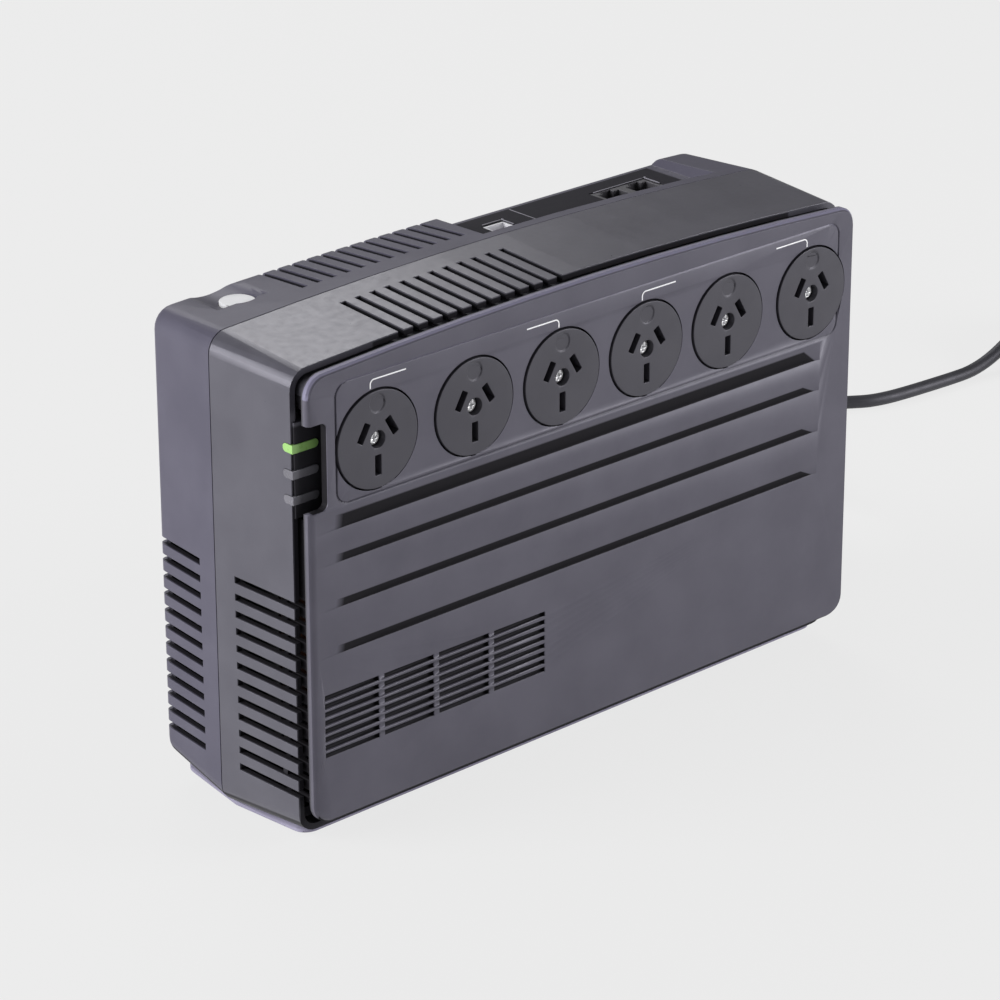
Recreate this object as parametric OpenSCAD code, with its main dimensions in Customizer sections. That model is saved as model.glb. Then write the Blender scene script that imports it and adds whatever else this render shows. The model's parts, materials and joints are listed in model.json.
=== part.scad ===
// Desk and wall uninterruptible power supply: two-part case, panel of six outlets,
// battery, transformer, boards, side slots, top connectors and a mains cord.
// Frame: +X to the right end, +Y to the back, +Z up; the feet stand on z = 0.

/* [Case] */
// Width of the case at the seam between its two shells
case_w = 296; // [292:1:302]
// Height of the case at the middle of the seam
case_h = 204.5; // [202:0.5:208]
// Depth of the front shell
front_depth = 45; // [43:0.5:48]
// Depth of the rear shell
rear_depth = 39.3; // [38:0.1:42]
// Wall thickness of both shells
wall = 2.6; // [2.2:0.1:3]
// Radius of the long corners
corner_r = 8.5; // [7:0.5:10]
// Rise of the top from its ends to its middle
crown = 4.5; // [3:0.5:5]
// Inward taper of each end wall over the front shell
front_side_taper = 1.8; // [1:0.1:2.4]
// Fall of the top over the front shell
front_top_taper = 2.8; // [2:0.1:3.4]
// Rise of the underside over the front shell
front_base_taper = 3.4; // [2:0.1:4]
// Inward taper of each end wall over the rear shell
rear_side_taper = 3.4; // [2:0.1:4]
// Fall of the top's ends over the rear shell
rear_top_taper = 1.3; // [0.8:0.1:2]
// Loss of the crown's rise over the rear shell
rear_crown_fall = 1.5; // [1:0.1:2]
// Rise of the underside over the rear shell
rear_base_taper = 6; // [4:0.1:6.5]
// Radius of the back edges
back_edge_r = 3; // [2:0.5:4]

/* [Front panel] */
// Distance from the front shell's edge to the panel's face
panel_stand = 10; // [9:0.5:12]
// Thickness of the panel plate
plate_t = 3.6; // [3:0.1:4]
// Bevel round the panel's face
plate_bevel = 1.3; // [0.8:0.1:1.6]
// Margin between the panel's edge and the front shell's outline
plate_margin = 0.2; // [0:0.1:0.6]
// Height of the panel's lower edge above the front shell's
plate_lift = 6.8; // [6:0.1:8]
// Inset of the neck behind the panel plate
neck_inset = 3.6; // [3.2:0.2:5]
// Thickness of the neck's wall
neck_t = 2; // [1.6:0.1:2.4]
// Length of the neck behind the plate
neck_len = 14; // [13:0.5:15]
// Height of the status notch
notch_h = 35.2; // [34:0.2:37]
// Width of the status notch
notch_w = 9; // [8:0.5:10]
// Radius of the status notch's corners
notch_r = 3; // [2:0.5:4]

/* [Outlets] */
// Distance between the two middle outlets of each group
outlet_pitch = 45.5; // [45:0.5:47]
// Distance from a group's inner outlets to its outer one
outlet_end_pitch = 48.4; // [47:0.1:50]
// Place of the middle between the two groups
outlet_mid = 3.6; // [2:0.1:6]
// Drop from the panel's upper corners to the outlet row
outlet_drop = 32.3; // [31:0.1:34]
// Diameter of the round outlet faces
outlet_d = 39; // [38:0.5:40]
// Gap round each outlet face
outlet_gap = 0.8; // [0.5:0.1:1]
// Height of the outlet faces over the panel
outlet_proud = 0.7; // [0.4:0.1:1]
// Width of the flange behind each outlet face
outlet_rim = 1.9; // [1.2:0.1:2.4]
// Length of the blade slots
blade_slot_l = 8; // [7:0.1:8.4]
// Width of the blade slots
blade_slot_w = 3; // [2.6:0.1:3.4]
// Sideways distance of the upper blade slots from the outlet's centre
blade_x = 6.86; // [6.6:0.02:7]
// Height of the upper blade slots over the outlet's centre
blade_z = 3.96; // [3.8:0.02:4.2]
// Lean of the upper blade slots
blade_lean = 30; // [28:1:32]
// Drop of the earth slot under the outlet's centre
earth_z = 10.31; // [10:0.01:10.6]
// Diameter of the screw well in each outlet
screw_well_d = 7; // [6.6:0.1:7.2]
// Depth of the outlet tray behind its flanges
tray_depth = 21; // [20:0.5:22]
// Wall thickness of the outlet tray
tray_wall = 2; // [1.6:0.1:2.4]

/* [Ventilation] */
// Number of slots in each row
slot_n = 12; // [8:1:12]
// Width of each slot
slot_w = 2.9; // [2.4:0.1:3.2]
// Pitch of the slots in the end wall
side_pitch = 7.2; // [6.8:0.1:7.4]
// Pitch of the slots in the top
top_pitch = 7.36; // [7:0.02:7.5]
// Length of the slots in the front shell
front_slot_l = 34; // [30:1:36]
// Distance from the seam to the slots in the rear shell
rear_slot_gap = 11; // [9:0.5:13]
// Place of the middle of the rows in the top
top_row_x = -51.5; // [-54:0.5:-48]
// Drop from the outlet row to the first slot in the end wall
side_row_drop = 60; // [56:0.5:62]
// Depth to which the slots cut in from the outside
slot_bite = 5; // [4.5:0.5:6]

/* [Base] */
// Height of the feet under the base pad
foot_drop = 1; // [0.8:0.1:1.4]
// Thickness of the base pad's outer strip
pad_t = 1.6; // [1.2:0.1:2]
// Thickness of the pad's inset neck
pad_neck_t = 0.8; // [0.6:0.1:1]
// Inset of the base pad from the end walls
pad_inset = 3; // [2:0.5:4]
// Diameter of the feet
foot_d = 12; // [10:0.5:14]

/* [Connectors] */
// Left end of the connector recess
recess_x0 = 4; // [2:0.5:6]
// Right end of the connector recess
recess_x1 = 121; // [118:0.5:123]
// Distance from the seam to the connector recess
recess_gap = 6; // [5:0.5:8]
// Depth of the recess under the top's back edge
recess_drop = 5; // [4.5:0.1:5.5]
// Run of the sloped ends of the recess
recess_slope = 6; // [4:0.5:8]
// Distance from the button's centre to the left end of the seam
button_inset = 32.6; // [31:0.1:34]
// Distance from the back face to the button, data and phone centres
rear_row_inset = 16; // [15:0.5:17]
// Diameter of the power button
button_d = 14.4; // [13:0.1:15]
// Gap round the power button
button_gap = 0.4; // [0.3:0.05:0.5]
// Travel of the power button
button_travel = 2; // [1.5:0.1:2.5]
// Depth of the finger scoop at the button
scoop_depth = 3.1; // [2.6:0.1:3.4]
// Radius across the finger scoop
scoop_r = 26; // [22:1:32]
// Width of the finger scoop
scoop_w = 36; // [32:1:38]
// Corner radius at the front of the finger scoop
scoop_corner = 5; // [3:0.5:7]
// Place of the data port
data_x = 20.5; // [18:0.5:23]
// Place of the middle of the phone jacks
phone_x = 91; // [89:0.5:93]

/* [Power parts] */
// Width of the battery
battery_w = 151; // [148:1:152]
// Depth of the battery
battery_d = 65; // [64:0.5:65.5]
// Height of the battery's case
battery_h = 94; // [92:0.5:95]
// Place of the battery's left side
battery_x = -22; // [-24:0.5:-20]
// Width of the transformer's core
core_w = 86; // [80:1:88]
// Height of the transformer's core
core_h = 72; // [68:1:74]
// Stack depth of the transformer's core
core_stack = 32; // [28:1:36]
// Diameter of the mains cord
cord_d = 6.4; // [6:0.1:7]
// Travel of the breaker button
breaker_travel = 2.5; // [2:0.1:3]

/* [Hidden] */
$fn = 48;

clear = 0.3;                    // running clearance between separate bodies
eps = 0.01;                     // overshoot of a cut through a flat face
seat = 0.2;                     // gap between flat faces of neighbouring pieces
body_d = outlet_proud + panel_stand + front_depth + rear_depth;
y_face = -body_d / 2 + outlet_proud;
y_plate = y_face + plate_t;
y_front = y_face + panel_stand;
y_seam = y_front + front_depth;
y_back = body_d / 2;
y_neck = y_plate + neck_len;
pad_h = pad_t + pad_neck_t;
z_seam = foot_drop + pad_h;
z_top = case_h - crown;
plate_hw = case_w / 2 - front_side_taper - plate_margin;
plate_z0 = z_seam + front_base_taper + plate_lift;
plate_z1 = z_top - front_top_taper - plate_margin;
outlet_zc = plate_z1 - outlet_drop;
outlet_x = [for (s = [-1, 1], k = [0 : 2])
  outlet_mid + s * (outlet_pitch / 2 + (s > 0 ? k : 2 - k) * outlet_pitch
    + ((s > 0 ? k : 2 - k) > 1 ? outlet_end_pitch - outlet_pitch : 0))];
notch_z1 = outlet_zc + 13.2;
notch_z0 = notch_z1 - notch_h;

// ---- shared shapes ------------------------------------------------------------------

function front_t(y) = (y_seam - y) / front_depth;
function back_t(y) = (y - y_seam) / rear_depth;
function half_w(y) = case_w / 2
  - (y < y_seam ? front_side_taper * front_t(y) : rear_side_taper * back_t(y));
function top_z(y) = z_top
  - (y < y_seam ? front_top_taper * front_t(y) : rear_top_taper * back_t(y));
function crown_at(y) = crown - (y < y_seam ? 0 : rear_crown_fall * back_t(y));
function base_z(y) = z_seam
  + (y < y_seam ? front_base_taper * front_t(y) : rear_base_taper * back_t(y));
function arc(cx, cz, r, a, n) =
  [for (i = [0 : n]) [cx + r * cos(a + 90 * i / n), cz + r * sin(a + 90 * i / n)]];

// Closed outline of the case in X and Z, counterclockwise from the front
function outline(hw, z0, z1, r, rise, n = 6, m = 8) = let (f = hw - r) concat(
  arc(f, z0 + r, r, -90, n),
  arc(f, z1 - r, r, 0, n),
  [for (i = [1 : m - 1]) let (x = f * (1 - 2 * i / m)) [x, z1 + rise * (1 - pow(x / f, 2))]],
  arc(-f, z1 - r, r, 90, n),
  arc(-f, z0 + r, r, 180, n));

// Height of the roof over a point
function roof_z(x, y) = top_z(y) + crown_at(y) * (1 - pow(x / (half_w(y) - corner_r), 2));

// Outline of the case at depth y, drawn in by an inset
function case_at(y, inset) = outline(half_w(y) - inset, base_z(y) + inset, top_z(y) - inset,
  max(corner_r - inset, 1), crown_at(y));
// Outline of the panel plate, drawn in by an inset
function plate_at(inset) = outline(plate_hw - inset, plate_z0 + inset, plate_z1 - inset,
  max(corner_r - inset, 1), crown);

// Solid through a list of [y, outline] sections
module loft(sections) {
  n = len(sections[0][1]);
  k = len(sections);
  points = [for (s = sections, p = s[1]) [p[0], s[0], p[1]]];
  sides = [for (j = [0 : k - 2], i = [0 : n - 1]) let (a = j * n + i, b = j * n + (i + 1) % n)
    each [[a, b, b + n], [a, b + n, a + n]]];
  caps = [[for (i = [n - 1 : -1 : 0]) i], [for (i = [0 : n - 1]) (k - 1) * n + i]];
  polyhedron(points, concat(caps, sides));
}

// Case-shaped ring between two depths and two insets
module case_ring(y0, y1, outer, inner) {
  difference() {
    loft([[y0, case_at(y0, outer)], [y1, case_at(y1, outer)]]);
    loft([[y0 - eps, case_at(y0, inner)], [y1 + eps, case_at(y1, inner)]]);
  }
}

// Upright web at x from the middle of the floor up to z
module floor_web(x, t, y0, y1, z) {
  m = wall / 2;
  translate([x - t / 2, 0, 0]) rotate([90, 0, 90]) linear_extrude(t)
    polygon([[y0, base_z(y0) + m], [y1, base_z(y1) + m], [y1, z], [y0, z]]);
}

// Upright web at x from the middle of the roof down to z
module roof_web(x, t, y0, y1, z) {
  m = wall / 2;
  translate([x - t / 2, 0, 0]) rotate([90, 0, 90]) linear_extrude(t)
    polygon([[y0, z], [y1, z], [y1, roof_z(x, y1) - m], [y0, roof_z(x, y0) - m]]);
}

// Web from a screw boss to the nearest of the floor and the right end wall
module boss_web(p, y0, y1) {
  if (p[0] > 0 && p[1] > relief_z + 10)
    block([p[0], y0, p[1] - 1], [half_w(y1) - wall / 2, y1, p[1] + 1]);
  else floor_web(p[0], 2, y0, y1, p[1]);
}

// Box from two opposite corners
module block(a, b) {
  translate(a) cube(b - a);
}

// Cylinder along X, Y or Z from a start point
module rod_x(p, l, d) {
  translate(p) rotate([0, 90, 0]) cylinder(d = d, h = l);
}
module rod_y(p, l, d) {
  translate(p) rotate([-90, 0, 0]) cylinder(d = d, h = l);
}
module rod_z(p, l, d) {
  translate(p) cylinder(d = d, h = l);
}

// Rectangle with true round corners, centred
module round_rect(w, h, r) {
  square([w - 2 * r, h], center = true);
  square([w, h - 2 * r], center = true);
  for (sx = [-1, 1], sy = [-1, 1])
    translate([sx * (w / 2 - r), sy * (h / 2 - r)]) circle(r = r);
}

// Prism with round corners, lying along Y from y0 for length l
module plate_y(x, y0, z, w, h, l, r) {
  translate([x, y0 + l, z]) rotate([90, 0, 0]) linear_extrude(l) round_rect(w, h, r);
}

// Prism with round corners, standing along Z from z0 for height l
module plate_z(x, y, z0, w, d, l, r) {
  translate([x, y, z0]) linear_extrude(l) round_rect(w, d, r);
}

// Prism with round corners, lying along X from x0 for length l
module plate_x(x0, y, z, d, h, l, r) {
  translate([x0, y, z]) rotate([90, 0, 90]) linear_extrude(l) round_rect(d, h, r);
}

// ---- ventilation slots --------------------------------------------------------------

side_slot_z = [for (i = [0 : slot_n - 1]) outlet_zc - side_row_drop - slot_w / 2 - i * side_pitch];
top_slot_x = [for (i = [0 : slot_n - 1]) top_row_x + (i - (slot_n - 1) / 2) * top_pitch];

// Cuts for the rows of slots between two depths
module slots(y0, y1) {
  hw = case_w / 2;
  for (z = side_slot_z)
    block([-hw - slot_bite, y0, z - slot_w / 2], [-hw + slot_bite + front_side_taper, y1, z + slot_w / 2]);
  for (x = top_slot_x)
    block([x - slot_w / 2, y0, case_h - crown - slot_bite], [x + slot_w / 2, y1, case_h + slot_bite]);
}

// ---- positions shared by several pieces ---------------------------------------------

screw_d = 3;                    // thread of the small screws
screw_sink = 2.4;               // depth of the outlet screws' heads in their wells
screw_head_d = 6.2;
screw_head_t = 2.2;
screw_bore = screw_d + 0.4;     // clearance bore of a small screw
boss_d = 8;                     // outside of a screw boss
relief_z = 28;                  // height of the mains cord where it leaves the case
rail_z = 12.6;                  // height of the rails that carry the battery
battery_y0 = y_neck + 4;
battery_y1 = battery_y0 + battery_d;
battery_x1 = battery_x + battery_w;
battery_top = rail_z + battery_h;
core_x = -case_w / 2 + 14 + core_w / 2;
core_z = rail_z + 18 + core_h / 2;
core_y0 = y_seam - core_stack / 2 - 2;
core_y1 = core_y0 + core_stack;
foot_x = case_w / 2 - 34;
foot_y = [y_front + 17, y_seam + 22];
case_screw_p = [for (row = [[27, battery_x - 8, relief_z + 24], [case_h - 27, recess_x0 - 2, case_h - 27]],
  p = [[-case_w / 2 + 12, row[0]], [row[1], row[0]], [case_w / 2 - 10, row[2]]]) p];
panel_screw_p = [for (x = [-1, 1], z = [plate_z0 + 16, outlet_zc - 37]) [x * (plate_hw - 13), z]];
y_inner = y_back - wall;

// Bosses of the front shell that the case screws bite into
boss_y0 = y_seam - 14;

// ---- case -----------------------------------------------------------------------------

lens_pitch = 10.3;
lens_h = 3.4;
lens_z = [for (i = [0 : 2]) outlet_zc + 2 - i * lens_pitch];
lens_t = 2.2;
lens_x1 = -plate_hw + 12;
lens_side = 5.6;
lens_block_t = 7;

// Solid block in the front shell's edge behind the status notch
module lens_block() {
  x0 = -half_w(y_front);
  block([x0 + 1, y_front - 1, notch_z0 - 4], [lens_x1 + 3, y_front + lens_block_t, notch_z1 - 1]);
}

// Outer shape of one status lens, grown by a margin
module lens_shape(z, grow) {
  x0 = -half_w(y_front) - 0.3;
  h = lens_h / 2 + grow;
  y0 = y_front - 1.3;
  block([x0 - grow, y0 - grow, z - h], [lens_x1 + grow - h, y0 + lens_t + grow, z + h]);
  rod_y([lens_x1 + grow - h, y0 - grow, z], lens_t + 2 * grow, 2 * h);
  block([x0 - grow, y0, z - h], [x0 + lens_t + grow, y0 + lens_side + grow - h, z + h]);
  rod_x([x0 - grow, y0 + lens_side + grow - h, z], lens_t + 2 * grow, 2 * h);
}

module front_shell() color("#3b3a40") {
  difference() {
    union() {
      difference() {
        case_ring(y_front, y_seam, 0, wall);
        slots(y_front - eps, y_front + front_slot_l);
      }
      // rim that the panel's neck lands on
      difference() {
        case_ring(y_neck, y_neck + 2.5, wall - 0.4, neck_inset + neck_t + 1);
        slots(y_neck - eps, y_neck + 3);
      }
      for (p = panel_screw_p) rod_y([p[0], y_neck, p[1]], 2.5, boss_d + 2);
      for (p = panel_screw_p) {
        side = p[0] < 0 ? -1 : 1;
        x1 = side * (half_w(y_neck) - wall / 2);
        block([min(p[0], x1), y_neck, p[1] - 4], [max(p[0], x1), y_neck + 2.5, p[1] + 4]);
      }
      // tongue that locates the rear shell
      case_ring(y_seam - 6, y_seam, wall - 0.4, wall + 1.6);
      case_ring(y_seam - eps, y_seam + 2.5, wall + clear, wall + 1.6);
      lens_block();
      // bosses for the case screws, each on a web to the nearest wall
      for (p = case_screw_p) {
        rod_y([p[0], boss_y0, p[1]], y_seam - boss_y0, boss_d);
        if (p[1] < case_h / 2) boss_web(p, boss_y0, y_seam - 4);
        else roof_web(p[0], 2, boss_y0, y_seam - 4, p[1]);
      }
      // rails under the battery and transformer
      for (x = [battery_x + 12, (battery_x + battery_x1) / 2, battery_x1 - 12])
        floor_web(x, 4, battery_y0 + 2, y_seam, rail_z);
    }
    for (p = case_screw_p) rod_y([p[0], boss_y0 + 2, p[1]], y_seam - boss_y0, screw_d - 0.4);
    for (p = panel_screw_p) rod_y([p[0], y_neck - 1, p[1]], 5, screw_bore);
    for (z = lens_z) lens_shape(z, seat / 2);
    // wiring slots behind the lenses
    for (z = lens_z)
      block([-half_w(y_front) + 4, y_front, z - 1.5], [lens_x1 - 2, y_front + 10.5, z + 1.5]);
  }
}

recess_z = z_top - rear_top_taper + crown - rear_crown_fall - recess_drop;
recess_y0 = y_seam + recess_gap;
button_x = -case_w / 2 + button_inset;
rear_row_y = y_back - rear_row_inset;
scoop_z = roof_z(button_x, rear_row_y) - scoop_depth;
scoop_x = button_x - 2.8;
scoop_y0 = rear_row_y - 5.7;
seam_gap = 0.5;
breaker_y = y_seam + 17;
breaker_z = battery_top + 21.4;
keyhole_x = 100;
keyhole_z = 150;
keyhole_d = 9;                  // opening that a wall screw's head passes
keyhole_slot = 5;               // slot that its shank hangs in
keyhole_run = 8;                // distance from the opening to the slot's end
breaker_thread_d = 11;
relief_thread_d = 12;
end_x = half_w(breaker_y);
data_w = 12;
data_d = 10.6;
phone_w = 32;
phone_d = 12.4;

// Wedge-ended space of the connector recess
module recess_space() {
  top = recess_drop + 6;
  run = recess_slope * top / recess_drop;
  translate([0, y_back + 5, recess_z]) rotate([90, 0, 0])
    linear_extrude(y_back + 5 - recess_y0)
      polygon([[recess_x0, 0], [recess_x1, 0], [recess_x1 + run, top], [recess_x0 - run, top]]);
}

module rear_shell() color("#46454c") {
  back = [[0, 0], [0.45, 0.1], [0.8, 0.4], [1, 1]];
  difference() {
    union() {
      difference() {
        loft(concat([[y_seam, case_at(y_seam, 0)]],
          [for (b = back) let (y = y_back - back_edge_r * (1 - b[0]))
            [y, case_at(y, back_edge_r * b[1] * 0.7)]]));
        loft([[y_seam - eps, case_at(y_seam, wall)], [y_inner, case_at(y_inner, wall)]]);
        slots(y_seam + rear_slot_gap, y_back + 1);
        recess_space();
        scoop_space();
        // fine groove along the seam
        case_ring(y_seam - 1, y_seam + seam_gap, -1, seam_gap);
      }
      // back skin behind the slots
      intersection() {
        loft([[y_inner - 1.6, case_at(y_inner, wall - 0.2)], [y_inner, case_at(y_inner, wall - 0.2)]]);
        block([-case_w, y_inner - 1.6, 0], [case_w, y_inner, recess_z - wall]);
      }
      // floor and front wall of the recess
      block([recess_x0 - recess_slope - 2, recess_y0 - wall, recess_z - wall],
        [recess_x1 + recess_slope + 2, y_inner, recess_z]);
      intersection() {
        block([recess_x0 - 14, recess_y0 - wall, recess_z - wall],
          [recess_x1 + 14, recess_y0, case_h]);
        loft([[y_seam, case_at(y_seam, 0.3)], [y_back, case_at(y_back, 0.3)]]);
      }
      intersection() {
        for (e = [[recess_x0, -1], [recess_x1, 1]]) recess_end(e[0], e[1]);
        loft([[y_seam, case_at(y_seam, 0.3)], [y_back, case_at(y_back, 0.3)]]);
      }
      // tray under the scoop
      intersection() {
        block([button_x - 18, scoop_y0 - wall, scoop_z - wall],
          [button_x + 18, y_inner + 1, case_h]);
        loft([[y_seam, case_at(y_seam, 0.3)], [y_back, case_at(y_back, 0.3)]]);
      }
      // bosses that the screws pass through
      for (p = case_screw_p) rod_y([p[0], y_seam + seat, p[1]], y_inner - y_seam - seat, boss_d);
      for (p = case_screw_p) {
        if (p[1] < case_h / 2) boss_web(p, y_seam + 4, y_inner);
        else block([p[0] - 1, y_seam + 4, p[1]], [p[0] + 1, y_inner + 1, recess_z - wall / 2]);
      }
      // transformer posts
      for (p = frame_screw_p) rod_y([p[0], core_y1 + 1.2, p[1]], y_inner - core_y1 - 1.2, boss_d);
      // board posts
      for (p = board_screw_p) rod_y([p[0], board_y + board_t, p[1]], y_inner - board_y - board_t, 6);
      // battery stops
      for (x = [battery_x + 12, battery_x1 - 12]) {
        floor_web(x, 4, y_seam + 3, y_inner + 1, rail_z);
        block([x - 2, battery_y1 + clear, rail_z - 1], [x + 2, y_inner + 1, rail_z + 12]);
      }
    }
    scoop_space();
    // button bore
    rod_z([button_x, rear_row_y, scoop_z - wall - 9], 40, button_d + 2 * button_gap);
    plate_z(data_x, rear_row_y, recess_z - wall - 1, data_w + 0.4, data_d + 0.4, 8, 1);
    plate_z(phone_x, rear_row_y, recess_z - wall - 1, phone_w + 0.4, phone_d + 0.4, 8, 0.6);
    rod_x([end_x - 12, breaker_y, breaker_z], 20, breaker_thread_d + 0.4);
    rod_x([nut_x, breaker_y, breaker_z], 10, nut_d + 1);
    rod_x([end_x - 12, breaker_y, relief_z], 20, relief_thread_d + 0.4);
    for (p = case_screw_p) {
      rod_y([p[0], y_seam - 1, p[1]], rear_depth + 2, screw_bore);
      rod_y([p[0], y_back - 7, p[1]], 10, 6.4);
    }
    for (p = concat(frame_screw_p, board_screw_p))
      rod_y([p[0], core_y1, p[1]], y_inner - core_y1 - 2, screw_d - 0.4);
    // keyholes for hanging on two wall screws
    for (s = [-1, 1]) {
      rod_y([s * keyhole_x, y_inner - 5, keyhole_z], 12, keyhole_d);
      rod_y([s * keyhole_x, y_inner - 5, keyhole_z + keyhole_run], 12, keyhole_slot);
      block([s * keyhole_x - keyhole_slot / 2, y_inner - 5, keyhole_z],
        [s * keyhole_x + keyhole_slot / 2, y_back + 2, keyhole_z + keyhole_run]);
    }
  }
}

// Finger scoop behind the power button, round across and open at the back
module scoop_space() {
  l = y_back + 10 - scoop_y0;
  intersection() {
    rod_y([scoop_x, scoop_y0 - 1, scoop_z + scoop_r], l + 1, 2 * scoop_r, $fn = 180);
    plate_z(scoop_x, scoop_y0 + l / 2, scoop_z - 1, scoop_w, l, 20, scoop_corner);
  }
}

// Sloped skin at one end of the recess
module recess_end(x, s) {
  run = recess_slope * (recess_drop + 1.5) / recess_drop;
  translate([0, y_inner, recess_z]) rotate([90, 0, 0])
    linear_extrude(y_inner - recess_y0 + wall)
      polygon([[x, -wall], [x, 0], [x + s * run, recess_drop + 1.5],
        [x + s * (run + wall), recess_drop + 1.5], [x + s * wall, -wall]]);
}

// ---- panel ------------------------------------------------------------------------------

module front_panel() color("#36353a") {
  difference() {
    union() {
      loft([[y_face, plate_at(plate_bevel)], [y_face + plate_bevel, plate_at(0)],
        [y_plate, plate_at(0)]]);
      difference() {
        loft([[y_plate - eps, plate_at(neck_inset)], [y_neck, plate_at(neck_inset)]]);
        loft([[y_plate, plate_at(neck_inset + neck_t)],
          [y_neck + 1, plate_at(neck_inset + neck_t)]]);
        for (z = side_slot_z)
          block([-case_w / 2, y_plate + 1, z - slot_w / 2],
            [-plate_hw + neck_inset + neck_t + 1, y_neck + 1, z + slot_w / 2]);
        block([-case_w / 2, y_plate, notch_z0 - 5],
          [-plate_hw + neck_inset + neck_t + 9, y_neck + 1, notch_z1 + 4]);
      }
      for (p = panel_screw_p) rod_y([p[0], y_plate - 1, p[1]], neck_len + 1, boss_d);
      for (p = tray_screw_p) rod_y([p[0], y_plate - 1, p[1]], 7, boss_d - 1);
    }
    // status notch
    plate_y(-plate_hw, y_face - 1, (notch_z0 + notch_z1) / 2, 2 * notch_w, notch_h,
      y_neck - y_face + 1, notch_r);
    for (x = outlet_x) rod_y([x, y_face - 1, outlet_zc], plate_t + 2, outlet_d + 2 * outlet_gap);
    for (p = panel_screw_p) rod_y([p[0], y_plate + 2, p[1]], neck_len, screw_d - 0.4);
    for (p = tray_screw_p) rod_y([p[0], y_plate, p[1]], 12, screw_d - 0.4);
    gills();
    grille();
    engraved_frame();
  }
}

gill = [[23.4, 7.6], [40, 4.5], [58.4, 4.5], [77.4, 4.5]];  // drop below the outlets' line, height
gill_depth = 2;
gill_x = [-143, 127];
gill_run = [42, 9];             // length over which a gill deepens at each end
grille_x = [[-140.6, -113.5], [-111.1, -85.7], [-83.3, -57.1], [-54.7, -27.4]];
grille_n = 8;
grille_drop = 97.1;
grille_pitch = 3.45;
grille_h = 2.25;
frame_x = [-133.3, 136.9];
frame_dz = [-22, 27.4];
frame_r = 6;
frame_line = 1;

// Long grooves across the panel, deepest at their lower edge and shallow at their ends
module gills() {
  cuts = [[gill_x[0], 0.02], [gill_x[0] + gill_run[0], 1], [gill_x[1] - gill_run[1], 1], [gill_x[1], 0.02]];
  n = len(cuts);
  for (g = gill) {
    points = [for (c = cuts, q = [[-1, 0], [0, 0], [gill_depth * c[1], -g[1]], [-1, -g[1]]])
      [c[0], y_face + q[0], outlet_zc - g[0] + q[1]]];
    sides = [for (i = [0 : n - 2], j = [0 : 3])
      let (a = i * 4 + j, b = i * 4 + (j + 1) % 4) each [[a, b, b + 4], [a, b + 4, a + 4]]];
    polyhedron(points, concat([[3, 2, 1, 0], [for (j = [0 : 3]) (n - 1) * 4 + j]], sides));
  }
}

// Block of short grooves at the lower left
module grille() {
  for (c = grille_x, i = [0 : grille_n - 1]) {
    z = outlet_zc - grille_drop - i * grille_pitch;
    block([c[0], y_face - 1, z - grille_h], [c[1], y_face + 1.8, z]);
  }
}

// Fine engraved frame round the outlets
module engraved_frame() {
  w = frame_x[1] - frame_x[0];
  h = frame_dz[1] - frame_dz[0];
  x = (frame_x[0] + frame_x[1]) / 2;
  z = outlet_zc + (frame_dz[0] + frame_dz[1]) / 2;
  difference() {
    plate_y(x, y_face - 1, z, w, h, 1.5, frame_r);
    plate_y(x, y_face - 2, z, w - 2 * frame_line, h - 2 * frame_line, 3.5, frame_r - frame_line);
  }
}

// Pad that follows the underside of both shells
module base_pad() color("#8a8996") {
  difference() {
    union() {
      pad_layer(pad_inset, 0, pad_t);
      pad_layer(pad_inset + 2, pad_t - eps, pad_h);
    }
    for (s = [-1, 1], y = foot_y) rod_z([s * foot_x, y, -1], 20, foot_d + 0.2);
  }
}

// One layer of the pad, from height a to height b above its lower face
module pad_layer(inset, a, b) {
  ys = [y_front + 1 + inset / 2, y_seam, y_back - 5 - inset / 2];
  low = [for (y = ys) [y, base_z(y) - pad_h + a]];
  high = [for (i = [2 : -1 : 0]) [ys[i], base_z(ys[i]) - pad_h + b]];
  w = case_w - 2 * (inset + front_side_taper + rear_side_taper / 2);
  r = 6;
  intersection() {
    translate([-w / 2, 0, 0]) rotate([90, 0, 90]) linear_extrude(w) polygon(concat(low, high));
    plate_z(0, (ys[0] + ys[2]) / 2, 0, w, ys[2] - ys[0], 20, r);
  }
}

module feet() color("#2a2a2c") {
  for (s = [-1, 1], y = foot_y)
    difference() {
      reach = foot_d / 2 + 0.1;
      rod_z([s * foot_x, y, 0], min(base_z(y - reach), base_z(y + reach)) - 0.05, foot_d);
      rod_z([s * foot_x, y, -1], 1.8, 4);
    }
}

// ---- outlets ----------------------------------------------------------------------------

// Blade slots of one outlet, through the face
module blade_slots(l, w, y0, y1) {
  for (s = [-1, 1])
    translate([s * blade_x, y0, blade_z]) rotate([0, -s * blade_lean, 0])
      block([-w / 2, 0, -l / 2], [w / 2, y1 - y0, l / 2]);
  translate([0, y0, -earth_z]) block([-w / 2, 0, -l / 2], [w / 2, y1 - y0, l / 2]);
}

module outlet_face(i) color("#2f2e33") {
  x = outlet_x[i];
  y0 = y_face - outlet_proud;
  translate([x, 0, outlet_zc]) difference() {
    union() {
      rod_y([0, y0, 0], plate_t + outlet_proud + 1, outlet_d);
      intersection() {
        rod_y([0, y_plate + 0.1, 0], 2, outlet_d + 2 * outlet_gap + 2 * outlet_rim);
        block([-plate_hw, y_plate, -plate_hw], [plate_hw - neck_inset - neck_t - clear - x, y_plate + 4, plate_hw]);
      }
      rod_y([0, y_plate, 0], 9, screw_well_d + 3);
    }
    blade_slots(blade_slot_l, blade_slot_w, y0 - 1, y_plate + 4);
    rod_y([0, y0 - 1, 0], 1 + screw_sink + screw_head_t, screw_well_d);
    rod_y([0, y_plate, 0], 12, screw_bore);
    rod_y([0, y0 - 1, outlet_d * 0.37], 1.4, 7.4);
  }
}

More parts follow.
